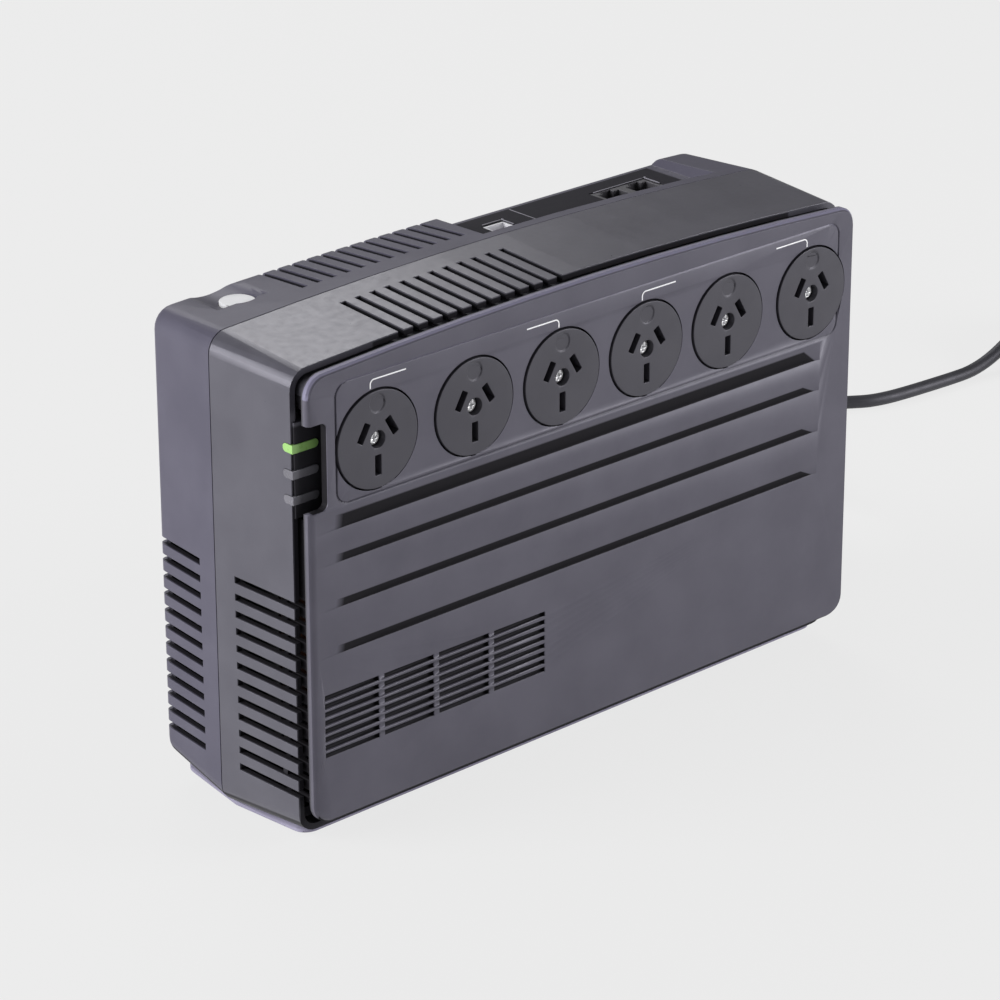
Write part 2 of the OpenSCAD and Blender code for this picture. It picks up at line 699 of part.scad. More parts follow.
module outlet_screws() color("#c9c9cc") {
  y0 = y_face - outlet_proud + screw_sink;
  for (x = outlet_x) difference() {
    union() {
      rod_y([x, y0 + 0.6, outlet_zc], screw_head_t - 0.62, screw_head_d);
      translate([x, y0, outlet_zc]) rotate([-90, 0, 0])
        cylinder(d1 = screw_head_d - 1.6, d2 = screw_head_d, h = 0.6 + eps);
      rod_y([x, y0 + 1, outlet_zc], y_plate + 20 - y0 - 1, screw_d);
    }
    for (a = [0, 90]) translate([x, y0 - 1, outlet_zc]) rotate([0, a, 0])
      block([-1.9, 0, -0.45], [1.9, 2.4, 0.45]);
  }
}

tray_y0 = y_plate + 2.3;
tray_y1 = tray_y0 + tray_depth;
tray_hw = plate_hw - neck_inset - neck_t - 3;
tray_z0 = outlet_zc - 22;
tray_z1 = plate_z1 - neck_inset - neck_t - 1.2;
wire_x = (outlet_x[4] + outlet_x[5]) / 2;
tray_screw_p = [for (i = [0, 2, 3, 5]) [outlet_x[i], outlet_zc - 26.6]];

// Insulating box behind the outlets, open towards them
module outlet_tray() color("#55545a") {
  difference() {
    union() {
      block([-tray_hw + 10, tray_y0, tray_z0], [tray_hw, tray_y1, tray_z1]);
      for (p = tray_screw_p)
        block([p[0] - 4, tray_y1 - 2.5, p[1] - 4], [p[0] + 4, tray_y1, tray_z0 + 1]);
      for (p = tray_screw_p) rod_y([p[0], y_plate + 6.2, p[1]], tray_y1 - y_plate - 6.2, boss_d - 1);
    }
    block([-tray_hw + 10 + tray_wall, tray_y0 - 1, tray_z0 + tray_wall],
      [tray_hw - tray_wall, tray_y1 - tray_wall, tray_z1 - tray_wall]);
    for (x = outlet_x) rod_y([x, tray_y1 - 4, outlet_zc], 6, screw_d - 0.4 + 1);
    for (p = tray_screw_p) rod_y([p[0], y_plate + 5, p[1]], tray_depth + 6, screw_bore);
    // wire exit
    block([wire_x - 6, tray_y1 - tray_wall - 1, outlet_zc - 8], [wire_x + 6, tray_y1 + 1, outlet_zc + 8]);
  }
  // posts that the outlet screws bite into
  for (x = outlet_x) difference() {
    rod_y([x, y_plate + 9.2, outlet_zc], tray_y1 - tray_wall - y_plate - 9.2 + eps, 7);
    rod_y([x, y_plate + 8, outlet_zc], tray_depth, screw_d + 0.1);
  }
}

bar_t = 0.8;
clip_l = 8;

// Row of sprung contacts on a bar; one clip at each outlet
module contact_bar(dx, dz, lean, bar_z, y0) {
  for (x = outlet_x) {
    translate([x + dx, y0 - clip_l, outlet_zc + dz]) rotate([0, lean, 0])
      for (s = [-1, 1])
        translate([s * 1.4 - bar_t / 2, 0, -3]) cube([bar_t, clip_l, 6]);
    block([x + dx - 1.8, y0 - bar_t, min(outlet_zc + dz - 3, bar_z - 2.5)],
      [x + dx + 1.8, y0, max(outlet_zc + dz + 3, bar_z + 2.5)]);
  }
  block([outlet_x[0] + dx - 3, y0 - bar_t, bar_z - 2.5], [outlet_x[5] + dx + 3, y0, bar_z + 2.5]);
}

module active_bar() color("#b98a4a") contact_bar(-blade_x, blade_z, blade_lean, outlet_zc + 16, tray_y1 - tray_wall);
module neutral_bar() color("#b98a4a") contact_bar(blade_x, blade_z, -blade_lean, outlet_zc + 10.4, tray_y1 - tray_wall - 4);
module earth_bar() color("#b98a4a") contact_bar(0, -earth_z, 0, outlet_zc - 15, tray_y1 - tray_wall);

module small_screw_y(p, l, head_d = 5.4) {
  rod_y([p[0], p[1], p[2]], l, screw_d - 0.6);
  difference() {
    rod_y([p[0], p[1] + l - eps, p[2]], 1.9, head_d);
    block([p[0] - 1.8, p[1] + l + 1, p[2] - 0.4], [p[0] + 1.8, p[1] + l + 3, p[2] + 0.4]);
    block([p[0] - 0.4, p[1] + l + 1, p[2] - 1.8], [p[0] + 0.4, p[1] + l + 3, p[2] + 1.8]);
  }
}

module tray_screws() color("#9a9a9e") {
  for (p = tray_screw_p) small_screw_y([p[0], y_plate + 2, p[1]], tray_y1 - y_plate - 2 + 0.05);
}

module panel_screws() color("#9a9a9e") {
  for (p = panel_screw_p) small_screw_y([p[0], y_neck - 8, p[1]], 8 + 2.5 + 0.05);
}

// ---- status lights ----------------------------------------------------------------------

module status_lens(i) color(i == 0 ? "#7fc04a" : "#9b9aa6", i == 0 ? 1 : 0.8) {
  lens_shape(lens_z[i], 0);
}

status_board_y = y_front + lens_block_t + 3.4;
module status_board() color("#2f5a38") {
  block([-plate_hw + neck_inset + neck_t + 1, status_board_y, notch_z0 + 1],
    [-plate_hw + neck_inset + neck_t + 12, status_board_y + 1.6, notch_z1 - 3]);
}

module status_leds() color("#d8dcc8") {
  x = lens_x1 - 5;
  for (z = lens_z) {
    rod_y([x, y_front + 2.6, z], status_board_y - y_front - 2.6 - 0.02, 2.6);
  }
}

// ---- power button -----------------------------------------------------------------------

button_rise = 1.7;
guide_z = scoop_z - wall - 0.02;
guide_h = 16;
stem_z = guide_z - guide_h + button_travel + clear;

module power_button() color("#e8e8ea") {
  translate([button_x, rear_row_y, 0]) {
    rod_z([0, 0, scoop_z - 6], 6 + button_rise, button_d);
    rod_z([0, 0, guide_z - 6], 6, 8);
    rod_z([0, 0, stem_z], guide_z - 6 - stem_z + 0.1, 4);
  }
}

module button_guide() color("#55545a") {
  translate([button_x, rear_row_y, guide_z - guide_h]) difference() {
    cylinder(d = button_d + 2 * button_gap + 4, h = guide_h);
    translate([0, 0, 2]) cylinder(d = button_d + 2 * button_gap, h = guide_h);
    translate([0, 0, -1]) cylinder(d = 5, h = 6);
  }
}

spring_z0 = guide_z - guide_h + 2.05;
spring_z1 = guide_z - 6 - 0.05;

// Coil spring between the guide's floor and the button's stem
module button_spring() color("#b9bcc0") {
  turns = 4;
  wire = 0.7;
  r = 3.3;
  lift = (spring_z1 - spring_z0 - wire) / turns;
  n = 12;
  path = [for (i = [0 : turns * n]) [r * cos(360 * i / n), r * sin(360 * i / n),
    spring_z0 + wire / 2 + lift * i / n]];
  translate([button_x, rear_row_y, 0]) sweep(path, wire / 2, 6);
}

module button_switch() color("#2b2b2e") {
  z1 = guide_z - guide_h - 0.05;
  plate_z(button_x, rear_row_y, z1 - 7, 12, 12, 7, 1);
  block([button_x - 16, rear_row_y - 9, z1 - 8.6], [button_x + 16, rear_row_y + 9, z1 - 7]);
  for (s = [-1, 1]) block([button_x + s * 5 - 0.5, rear_row_y - 4, z1 - 12], [button_x + s * 5 + 0.5, rear_row_y - 3, z1 - 8]);
}

// Tube of radius r with n sides along a list of points
function unit(v) = v / norm(v);
function tangent(p, i) = unit(p[min(i + 1, len(p) - 1)] - p[max(i - 1, 0)]);
function side_of(t) = unit(cross(t, abs(t[2]) < 0.9 ? [0, 0, 1] : [1, 0, 0]));
module sweep(path, r, n) {
  k = len(path);
  rings = [for (i = [0 : k - 1]) let (t = tangent(path, i), u = side_of(t), v = cross(u, t))
    [for (j = [0 : n - 1]) path[i] + r * (cos(360 * j / n) * u + sin(360 * j / n) * v)]];
  points = [for (ring = rings, p = ring) p];
  sides = [for (i = [0 : k - 2], j = [0 : n - 1])
    let (a = i * n + j, b = i * n + (j + 1) % n) each [[a, b, b + n], [a, b + n, a + n]]];
  caps = [[for (j = [n - 1 : -1 : 0]) j], [for (j = [0 : n - 1]) (k - 1) * n + j]];
  polyhedron(points, concat(caps, sides));
}

// ---- connectors -------------------------------------------------------------------------

comms_z = recess_z - 18;
comms_t = 1.6;
comms_p = [[34, 0], [62, 0], [114, 0]];

module comms_board() color("#2f5a38") {
  difference() {
    block([10, rear_row_y - 9, comms_z - comms_t], [119, rear_row_y + 9, comms_z]);
    for (p = comms_p) rod_z([p[0], rear_row_y + p[1], comms_z - 3], 6, 2.4);
  }
}

module usb_port() color("#e6e6e2") {
  top = recess_z - 0.4;
  translate([data_x, rear_row_y, comms_z + 0.02]) difference() {
    linear_extrude(top - comms_z) round_rect(data_w, data_d, 0.8);
    translate([0, 0, 3]) linear_extrude(20) round_rect(data_w - 2.4, data_d - 2.4, 0.6);
  }
  translate([data_x, rear_row_y, comms_z + 0.02])
    block([-2.8, -1.6, 2.9], [2.8, 1.6, top - comms_z - 1.6]);
}

jack_w = 11.7;
jack_d = 7.5;
jack_pitch = 15.8;
module phone_jacks() color("#3a3a3d") {
  top = recess_z - 0.4;
  difference() {
    plate_z(phone_x, rear_row_y, comms_z + 0.02, phone_w, phone_d, top - comms_z, 0.5);
    for (s = [-1, 1]) {
      x = phone_x + s * jack_pitch / 2;
      block([x - jack_w / 2, rear_row_y - jack_d / 2 - 1, top - 12],
        [x + jack_w / 2, rear_row_y + jack_d / 2 - 1, top + 1]);
      block([x - 3, rear_row_y + jack_d / 2 - 1.1, top - 12],
        [x + 3, rear_row_y + jack_d / 2 + 1.4, top + 1]);
    }
  }
}

nut_t = 1.7;
nut_d = 16;
nut_x = end_x - 0.95;
module breaker_body() color("#26262a") {
  difference() {
    union() {
      plate_x(end_x - 31, breaker_y, breaker_z, 20, 22, 25, 1.5);
      rod_x([end_x - 8, breaker_y, breaker_z], nut_x + nut_t - end_x + 8, breaker_thread_d);
    }
    rod_x([end_x - 12, breaker_y, breaker_z], 20, button_bore);
  }
  for (s = [-1, 1])
    block([end_x - 41, breaker_y + s * 6 - 3, breaker_z - 0.4],
      [end_x - 30, breaker_y + s * 6 + 3, breaker_z + 0.4]);
}

button_bore = 7.4;
breaker_button_d = 6.6;
module breaker_nut() color("#1f1f22") {
  difference() {
    rod_x([nut_x + 0.02, breaker_y, breaker_z], nut_t - 0.2, nut_d);
    rod_x([nut_x - 1, breaker_y, breaker_z], nut_t + 2, breaker_thread_d + 0.2);
    for (a = [0 : 30 : 150]) translate([nut_x + 0.6, breaker_y, breaker_z]) rotate([a, 0, 0])
      for (s = [-1, 1]) block([0, s * 8.4 - 0.9, -0.8], [3, s * 8.4 + 0.9, 0.8]);
  }
}

module breaker_button() color("#d9d9d6") {
  rod_x([end_x - 11.7, breaker_y, breaker_z], nut_x + nut_t + 0.1 - end_x + 11.7, breaker_button_d);
}

// ---- mains cord -------------------------------------------------------------------------

cord_r = cord_d / 2;
relief_x = half_w(breaker_y - 9) + 0.1;
relief_l = 34;
module strain_relief() color("#232326") {
  difference() {
    union() {
      rod_x([relief_x - 9, breaker_y, relief_z], 10, relief_thread_d);
      rod_x([relief_x, breaker_y, relief_z], 3, 18);
      translate([relief_x + 3 - eps, breaker_y, relief_z]) rotate([0, 90, 0])
        cylinder(d1 = 13, d2 = cord_d + 2.4, h = relief_l - 3);
      rod_x([relief_x - 9, breaker_y, relief_z], 4, 17);
    }
    rod_x([relief_x - 10, breaker_y, relief_z], relief_l + 12, cord_d + 0.1);
    for (i = [0 : 5]) translate([relief_x + 8 + i * 4.4, breaker_y, relief_z]) rotate([0, 90, 0])
      difference() {
        cylinder(d = 30, h = 1.4);
        translate([0, 0, -1]) cylinder(d = cord_d + 2.2, h = 4);
      }
  }
}

cord_route = [[182, 25.2, 28], [190, 25.2, 28], [201, 27, 27], [213, 33, 24], [224, 43, 19], [234, 57, 13],
  [243, 74, 8], [252, 93, 5], [262, 111, 3.5], [275, 127, 3.2], [291, 139, 3.2], [308, 144, 3.2],
  [324, 143.5, 3.2], [336, 139.5, 3.2], [345, 133.5, 3.2], [353, 128.5, 3.2], [363, 125.5, 3.2],
  [375, 123.8, 3.2], [390, 122.5, 3.2], [405, 121.5, 3.2], [420, 121, 3.6], [434, 121, 6.5],
  [448, 121, 12.5], [461, 121, 20], [474, 121, 26.5], [487, 121, 29.8], [500, 121, 30.7]];
cord_tail = [[542.4, 82.6, 3.2], [542.4, 74, 3.2], [542.4, 65, 3.6], [542.4, 56, 5.4], [542.4, 50, 5.8]];
cord_end = relief_x - 12;

// Point of a smooth curve through the list of points
function bend(a, b, c, d, t) = 0.5 * ((2 * b) + (c - a) * t + (2 * a - 5 * b + 4 * c - d) * t * t
  + (3 * b - a - 3 * c + d) * t * t * t);
function smooth(p, n) = [for (i = [0 : len(p) - 2], k = [0 : n - 1])
  bend(p[max(i - 1, 0)], p[i], p[i + 1], p[min(i + 2, len(p) - 1)], k / n), p[len(p) - 1]];

module mains_cord() color("#202023") {
  route = smooth(cord_route, 2);
  sweep(concat([[cord_end, breaker_y, relief_z], [relief_x + 10, breaker_y, relief_z]], route), cord_r, 10);
  sweep(smooth(cord_tail, 2), cord_r, 10);
}

coil_r = 38.4;
coil_c = [504, 82.6];
coil_rows = 5.3;
module cord_coil() color("#202023") {
  translate([coil_c[0], coil_c[1], 0]) rotate_extrude($fn = 96)
    translate([coil_r, (cord_d * coil_rows) / 2]) square([cord_d, cord_d * coil_rows], center = true);
}

plug_x = cord_tail[4][0];
plug_y = cord_tail[4][1];
boot_z = cord_tail[4][2];
plug_r = 15;
plug_z = plug_r;
module plug_body() color("#202023") {
  y1 = plug_y - 30;
  difference() {
    union() {
      translate([plug_x, plug_y, boot_z]) rotate([90, 0, 0])
        cylinder(d1 = cord_d + 2, d2 = 11, h = 30 + eps);
      hull() {
        translate([plug_x, y1, boot_z]) rotate([90, 0, 0]) cylinder(d = 11, h = 1);
        translate([plug_x, y1 - 8, plug_z]) rotate([90, 0, 0]) cylinder(d = 28, h = 1);
      }
      rod_y([plug_x, y1 - 24, plug_z], 16, 28);
      rod_y([plug_x, y1 - 27, plug_z], 3, 2 * plug_r);
    }
    // finger grooves
    for (s = [-1, 1], k = [0 : 3])
      block([plug_x + s * (plug_r - 1.6), y1 - 21 + k * 3.4, plug_z - 12],
        [plug_x + s * (plug_r + 2), y1 - 19.4 + k * 3.4, plug_z + 12]);
  }
}

pin_l = 17;
pin_w = 6.3;
pin_t = 1.6;
module plug_pins() color("#c9a65a") {
  y1 = plug_y - 57;
  for (s = [-1, 1]) translate([plug_x + s * blade_x, y1, plug_z + blade_z]) rotate([0, -s * blade_lean, 0])
    block([-pin_t / 2, -pin_l, -pin_w / 2], [pin_t / 2, -0.02, pin_w / 2]);
  translate([plug_x, y1, plug_z - earth_z]) block([-pin_t / 2, -pin_l - 2.5, -pin_w / 2], [pin_t / 2, -0.02, pin_w / 2]);
}

// ---- battery ----------------------------------------------------------------------------

lid_h = 12;
terminal_x = [battery_x + 12, battery_x1 - 12];
terminal_y = battery_y0 + 14;

module battery_case() color("#3f4044") {
  plate_z((battery_x + battery_x1) / 2, (battery_y0 + battery_y1) / 2, rail_z + 0.02,
    battery_w, battery_d, battery_h - lid_h - 0.04, 3);
}

module battery_lid() color("#4b4c50") {
  difference() {
    plate_z((battery_x + battery_x1) / 2, (battery_y0 + battery_y1) / 2, battery_top - lid_h,
      battery_w, battery_d, lid_h, 3);
    for (x = terminal_x) block([x - 6, terminal_y - 6, battery_top - 5], [x + 6, terminal_y + 6, battery_top + 1]);
    for (i = [0 : 5]) rod_z([battery_x + 30 + i * 18, battery_y1 - 16, battery_top - 0.8], 2, 12);
  }
}

module battery_terminals() color("#b8b9bd") {
  for (x = terminal_x) {
    block([x - 4, terminal_y - 4, battery_top - 5 + 0.02], [x + 4, terminal_y + 4, battery_top - 4.2]);
    block([x - 3.15, terminal_y - 0.4, battery_top - 4.2 - eps], [x + 3.15, terminal_y + 0.4, battery_top + 3]);
  }
}

lead_z = battery_top + 10;
module battery_leads() color("#b23a34") {
  for (i = [0, 1]) {
    x = terminal_x[i];
    difference() {
      block([x - 4, terminal_y - 1.5, battery_top - 2], [x + 4, terminal_y + 1.5, battery_top + 6]);
      block([x - 3.3, terminal_y - 0.5, battery_top - 3], [x + 3.3, terminal_y + 0.5, battery_top + 3.1]);
    }
    end = [board_x1 - 14 - i * 16, board_y - 8, board_z0 + 3.5];
    sweep(smooth([[x, terminal_y, battery_top + 5.9], [x, terminal_y, lead_z + 2],
      [x - 6 - i * 10, terminal_y + 8, lead_z + 6 + i * 3],
      [end[0] + 10 - i * 2, end[1] - 20 - i * 2, lead_z + i * 2],
      end, [end[0], board_y - 3.1, end[2]]], 4), 1.5, 8);
    block([end[0] - 4, board_y - 3, end[2] - 3], [end[0] + 4, board_y - 0.02, end[2] + 3]);
  }
}

strap_t = 1.2;
strap_x = (battery_x + battery_x1) / 2;
strap_w = 22;
strap_screw_z = battery_top + 13;
module battery_strap() color("#9fa1a6") {
  x0 = strap_x - strap_w / 2;
  x1 = strap_x + strap_w / 2;
  difference() {
    union() {
      block([x0, battery_y0 - strap_t - 0.05, battery_top - 26], [x1, battery_y0 - 0.05, battery_top + strap_t]);
      block([x0, battery_y0 - strap_t - 0.05, battery_top + 0.05], [x1, battery_y1 + 1, battery_top + strap_t]);
      block([x0, battery_y1 + 1 - strap_t, battery_top + 0.05], [x1, battery_y1 + 1, strap_screw_z + 6]);
    }
    rod_y([strap_x, battery_y1 - 4, strap_screw_z], 8, screw_bore);
  }
}

// ---- transformer ------------------------------------------------------------------------

tongue_w = core_w / 3;
window_w = core_w / 6;
window_h = core_h - core_w / 3;
frame_t = 1.2;
frame_screw_p = [for (s = [-1, 1], dz = [-1, 1]) [core_x + 3 + s * (core_w / 2 + 6), core_z + dz * 24]];

// Laminated core with two windows
module transformer_core() color("#77787c") {
  translate([core_x + 3, 0, core_z]) difference() {
    block([-core_w / 2, core_y0, -core_h / 2], [core_w / 2, core_y1, core_h / 2]);
    for (s = [-1, 1]) translate([s * (tongue_w + window_w) / 2, 0, 0])
      block([-window_w / 2, core_y0 - 1, -window_h / 2], [window_w / 2, core_y1 + 1, window_h / 2]);
  }
}

coil_grow = 12;
module transformer_coil() color("#b5793c") {
  w = tongue_w + 2 * window_w - 1;
  h = window_h - 1;
  translate([core_x + 3, 0, core_z]) difference() {
    plate_y(0, core_y0 - coil_grow, 0, w, h, core_stack + 2 * coil_grow, 2);
    block([-tongue_w / 2 - 0.2, core_y0 - 0.2, -core_h], [tongue_w / 2 + 0.2, core_y1 + 0.2, core_h]);
  }
}

// Steel frame round the core, with ears on the posts
module transformer_frame() color("#a7a9ad") {
  translate([core_x + 3, 0, core_z]) difference() {
    union() {
      for (s = [-1, 1]) translate([s * (core_w / 2 + frame_t / 2 + 0.05), 0, 0])
        block([-frame_t / 2, core_y0, -core_h / 2 - frame_t], [frame_t / 2, core_y1 + frame_t, core_h / 2 + frame_t]);
      for (s = [-1, 1]) translate([s * (core_w / 2 + 6), 0, 0])
        block([-5.9, core_y1 + 0.05, -core_h / 2 + 4], [5.9, core_y1 + frame_t, core_h / 2 - 4]);
      for (s = [-1, 1]) translate([0, 0, s * (core_h / 2 + frame_t / 2 + 0.05)])
        block([-core_w / 2 - frame_t, core_y0, -frame_t / 2], [core_w / 2 + frame_t, core_y1 + frame_t, frame_t / 2]);
    }
    for (s = [-1, 1], dz = [-1, 1])
      rod_y([s * (core_w / 2 + 6), core_y1 - 2, dz * 24], 6, screw_bore);
  }
}

// Pan-head screw that points to the back, head against depth y
module back_screw(x, y, z, l) {
  rod_y([x, y - eps, z], l, screw_d - 0.5);
  difference() {
    rod_y([x, y - 1.9, z], 1.9, 5.6);
    block([x - 1.9, y - 2.5, z - 0.4], [x + 1.9, y - 1, z + 0.4]);
    block([x - 0.4, y - 2.5, z - 1.9], [x + 0.4, y - 1, z + 1.9]);
  }
}

module transformer_screws() color("#9a9a9e") {
  for (p = frame_screw_p) back_screw(p[0], core_y1 - 0.02, p[1], 8);
}

// ---- boards -----------------------------------------------------------------------------

board_t = 1.6;
board_y = y_back - 14;
board_x0 = -case_w / 2 + 9;
board_x1 = board_x0 + 128;
board_z0 = 109;
board_z1 = 165;
board_screw_p = [for (x = [board_x0 + 5, board_x1 - 5], z = [board_z0 + 5, board_z1 - 5]) [x, z]];

module main_board() color("#2f5a38") {
  difference() {
    block([board_x0, board_y, board_z0], [board_x1, board_y + board_t - 0.02, board_z1]);
    for (p = board_screw_p) rod_y([p[0], board_y - 1, p[1]], 4, screw_bore);
  }
}

module board_screws() color("#9a9a9e") {
  for (p = board_screw_p) back_screw(p[0], board_y - 0.02, p[1], 7.5);
  for (p = comms_p) {
    rod_z([p[0], rear_row_y + p[1], comms_z - comms_t - 0.1], 9, 2.2);
    rod_z([p[0], rear_row_y + p[1], comms_z - comms_t - 2], 1.95, 5);
  }
}

sink_x = [for (i = [0, 1]) board_x0 + 26 + i * 34];
module heat_sinks() color("#b4b6ba") {
  for (x = sink_x) {
    block([x, board_y - 26, board_z0 + 6], [x + 3, board_y - 0.05, board_z0 + 46]);
    for (k = [0 : 4])
      block([x - 9, board_y - 25 + k * 5.6, board_z0 + 6], [x + eps, board_y - 23.6 + k * 5.6, board_z0 + 46]);
  }
}

module transistors() color("#232326") {
  for (x = sink_x, k = [0, 1]) {
    z = board_z0 + 10 + k * 19;
    block([x + 3.05, board_y - 20, z], [x + 7.6, board_y - 5, z + 10.4]);
    for (j = [-1 : 1]) block([x + 5, board_y - 5 - eps, z + 5.2 + j * 2.54 - 0.4],
      [x + 5.8, board_y - 0.05, z + 5.2 + j * 2.54 + 0.4]);
  }
}

relay_n = 2;
module relays() color("#c9ccd2") {
  for (i = [0 : relay_n - 1])
    plate_y(board_x0 + 81 + i * 19, board_y - 20.05, board_z0 + 43, 15.5, 19, 20, 0.8);
}

cap_n = 3;
module capacitors() color("#2b3c66") {
  for (i = [0 : cap_n - 1]) {
    rod_y([board_x0 + 80 + i * 15, board_y - 20.05, board_z0 + 14], 20, 12.5);
  }
}

module board_fuse() color("#d8d0c0") {
  x = board_x1 - 8;
  rod_z([x, board_y - 6, board_z0 + 9], 20, 5);
  for (z = [board_z0 + 10, board_z0 + 25])
    difference() {
      block([x - 3.4, board_y - 8, z], [x + 3.4, board_y - 0.05, z + 3]);
      rod_z([x, board_y - 6, z - 1], 6, 5.1);
    }
}

module buzzer() color("#1f1f21") {
  difference() {
    rod_y([board_x0 + 8.6, board_y - 10.05, board_z0 + 34], 10, 14);
    rod_y([board_x0 + 8.6, board_y - 11, board_z0 + 34], 3, 2);
  }
}

module case_screws() color("#8f9094") {
  for (p = case_screw_p) {
    l = y_back - 7 - y_seam + 10;
    rod_y([p[0], y_back - 7 - l, p[1]], l + 0.1, screw_d - 0.6);
    difference() {
      rod_y([p[0], y_back - 7.02 + 0.06, p[1]], 2.2, 5.8);
      block([p[0] - 1.9, y_back - 5.6, p[1] - 0.45], [p[0] + 1.9, y_back - 4, p[1] + 0.45]);
      block([p[0] - 0.45, y_back - 5.6, p[1] - 1.9], [p[0] + 0.45, y_back - 4, p[1] + 1.9]);
    }
  }
}

wire_d = 2.6;
// Leads from the breaker and from the board to the outlet bars
module power_wires() color("#7a5a3a") {
  x0 = wire_x;
  y0 = tray_y1 - tray_wall - 0.9;
  ends = [[x0 - 3, outlet_zc + 4], [x0, outlet_zc - 3], [x0 + 3, outlet_zc + 4]];
  starts = [[end_x - 42, breaker_y - 6, breaker_z], [end_x - 42, breaker_y + 6, breaker_z],
    [board_x1 - 12, board_y - 1.5, board_z1 - 18]];
  for (i = [0 : 1])
    sweep(smooth([[ends[i][0], y0, ends[i][1]], [ends[i][0], y0 + 8, ends[i][1]],
      [starts[i][0] - 8, starts[i][1] - 20 + i * 6, starts[i][2] + 14 + i * 4],
      [starts[i][0] - 6, starts[i][1] - 3, starts[i][2] + 1], starts[i]], 4), wire_d / 2, 8);
  x1 = battery_x1 + 3.5;
  sweep(smooth([[cord_end - 0.1, breaker_y, relief_z], [cord_end - 0.9, breaker_y, relief_z],
    [cord_end - 1.6, breaker_y, relief_z],
    [x1, breaker_y - 1, relief_z + 4], [x1, breaker_y - 3, relief_z + 30],
    [x1, breaker_y - 4, battery_top - 8], [x1, breaker_y - 4, battery_top + 3],
    [x1 - 14, breaker_y - 3, battery_top + 5], [x1 - 28, breaker_y - 1, battery_top + 9],
    [end_x - 45, breaker_y, breaker_z - 3]], 4), wire_d / 2, 8);
  sweep(smooth([[ends[2][0], y0, ends[2][1]], [ends[2][0], y0 + 12, ends[2][1] + 2],
    [ends[2][0] - 30, y0 + 26, ends[2][1] + 6], [20, board_y - 22, board_z1 - 2],
    [starts[2][0] + 4, board_y - 12, board_z1 - 16], starts[2]], 4), wire_d / 2, 8);
}

// ---- the part ---------------------------------------------------------------------------

front_shell();
rear_shell();
front_panel();
base_pad();
feet();
outlet_face(0);  // outlet_face_1
outlet_face(1);  // outlet_face_2
outlet_face(2);  // outlet_face_3
outlet_face(3);  // outlet_face_4
outlet_face(4);  // outlet_face_5
outlet_face(5);  // outlet_face_6
outlet_screws();
outlet_tray();
active_bar();
neutral_bar();
earth_bar();
tray_screws();
status_lens(0);  // status_lens_1
status_lens(1);  // status_lens_2
status_lens(2);  // status_lens_3
status_board();
status_leds();
power_button();
button_spring();
button_guide();
button_switch();
comms_board();
usb_port();
phone_jacks();
breaker_body();
breaker_nut();
breaker_button();
strain_relief();
mains_cord();
cord_coil();
plug_body();
plug_pins();
battery_case();
battery_lid();
battery_terminals();
battery_leads();
battery_strap();
transformer_core();
transformer_coil();
transformer_frame();
transformer_screws();
main_board();
heat_sinks();
transistors();
relays();
capacitors();
board_fuse();
buzzer();
board_screws();
case_screws();
panel_screws();
power_wires();
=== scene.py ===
"""Looks of the six-outlet uninterruptible power supply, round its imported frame."""

import json
import math

import bpy
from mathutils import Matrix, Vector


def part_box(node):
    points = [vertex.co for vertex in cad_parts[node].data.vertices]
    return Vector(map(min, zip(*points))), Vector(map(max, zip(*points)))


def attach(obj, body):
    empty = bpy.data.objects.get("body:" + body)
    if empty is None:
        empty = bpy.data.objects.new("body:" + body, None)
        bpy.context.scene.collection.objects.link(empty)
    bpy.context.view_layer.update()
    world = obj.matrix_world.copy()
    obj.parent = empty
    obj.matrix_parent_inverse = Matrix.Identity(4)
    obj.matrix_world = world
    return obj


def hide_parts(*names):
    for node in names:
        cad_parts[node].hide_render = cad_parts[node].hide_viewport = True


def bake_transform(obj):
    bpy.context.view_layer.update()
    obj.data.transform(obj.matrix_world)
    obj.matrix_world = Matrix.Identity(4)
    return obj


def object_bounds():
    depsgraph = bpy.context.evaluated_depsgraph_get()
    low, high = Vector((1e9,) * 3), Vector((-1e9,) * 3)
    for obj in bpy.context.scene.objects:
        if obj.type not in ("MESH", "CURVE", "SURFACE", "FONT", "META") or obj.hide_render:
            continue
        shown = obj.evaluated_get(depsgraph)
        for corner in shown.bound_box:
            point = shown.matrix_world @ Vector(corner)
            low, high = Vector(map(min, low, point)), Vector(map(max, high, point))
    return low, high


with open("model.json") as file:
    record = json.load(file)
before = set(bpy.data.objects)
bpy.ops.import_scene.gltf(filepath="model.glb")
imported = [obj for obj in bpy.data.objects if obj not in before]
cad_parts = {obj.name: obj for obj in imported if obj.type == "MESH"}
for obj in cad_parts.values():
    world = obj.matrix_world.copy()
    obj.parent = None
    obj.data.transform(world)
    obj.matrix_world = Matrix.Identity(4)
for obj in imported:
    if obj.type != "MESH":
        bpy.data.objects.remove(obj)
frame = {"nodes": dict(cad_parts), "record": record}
cad_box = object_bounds()
nodes = frame["nodes"]
MM = 0.001


# ---- camera -----------------------------------------------------------------------------

CAMERA_PLACE = (-0.98027, -1.07146, 0.71343)
CAMERA_DOWN = 21.54
CAMERA_TURN = -42.52

lens_block = bpy.data.cameras.new("studio_camera")
camera = bpy.data.objects.new("studio_camera", lens_block)
bpy.context.scene.collection.objects.link(camera)
camera.location = CAMERA_PLACE
camera.rotation_euler = (math.radians(90 - CAMERA_DOWN), 0, math.radians(CAMERA_TURN))
lens_block.sensor_width = 36
lens_block.lens = 140.40
lens_block.shift_x = -0.02045
lens_block.shift_y = -0.10945
lens_block.clip_end = 30
bpy.context.scene.camera = camera


# ---- workshop helpers -------------------------------------------------------------------

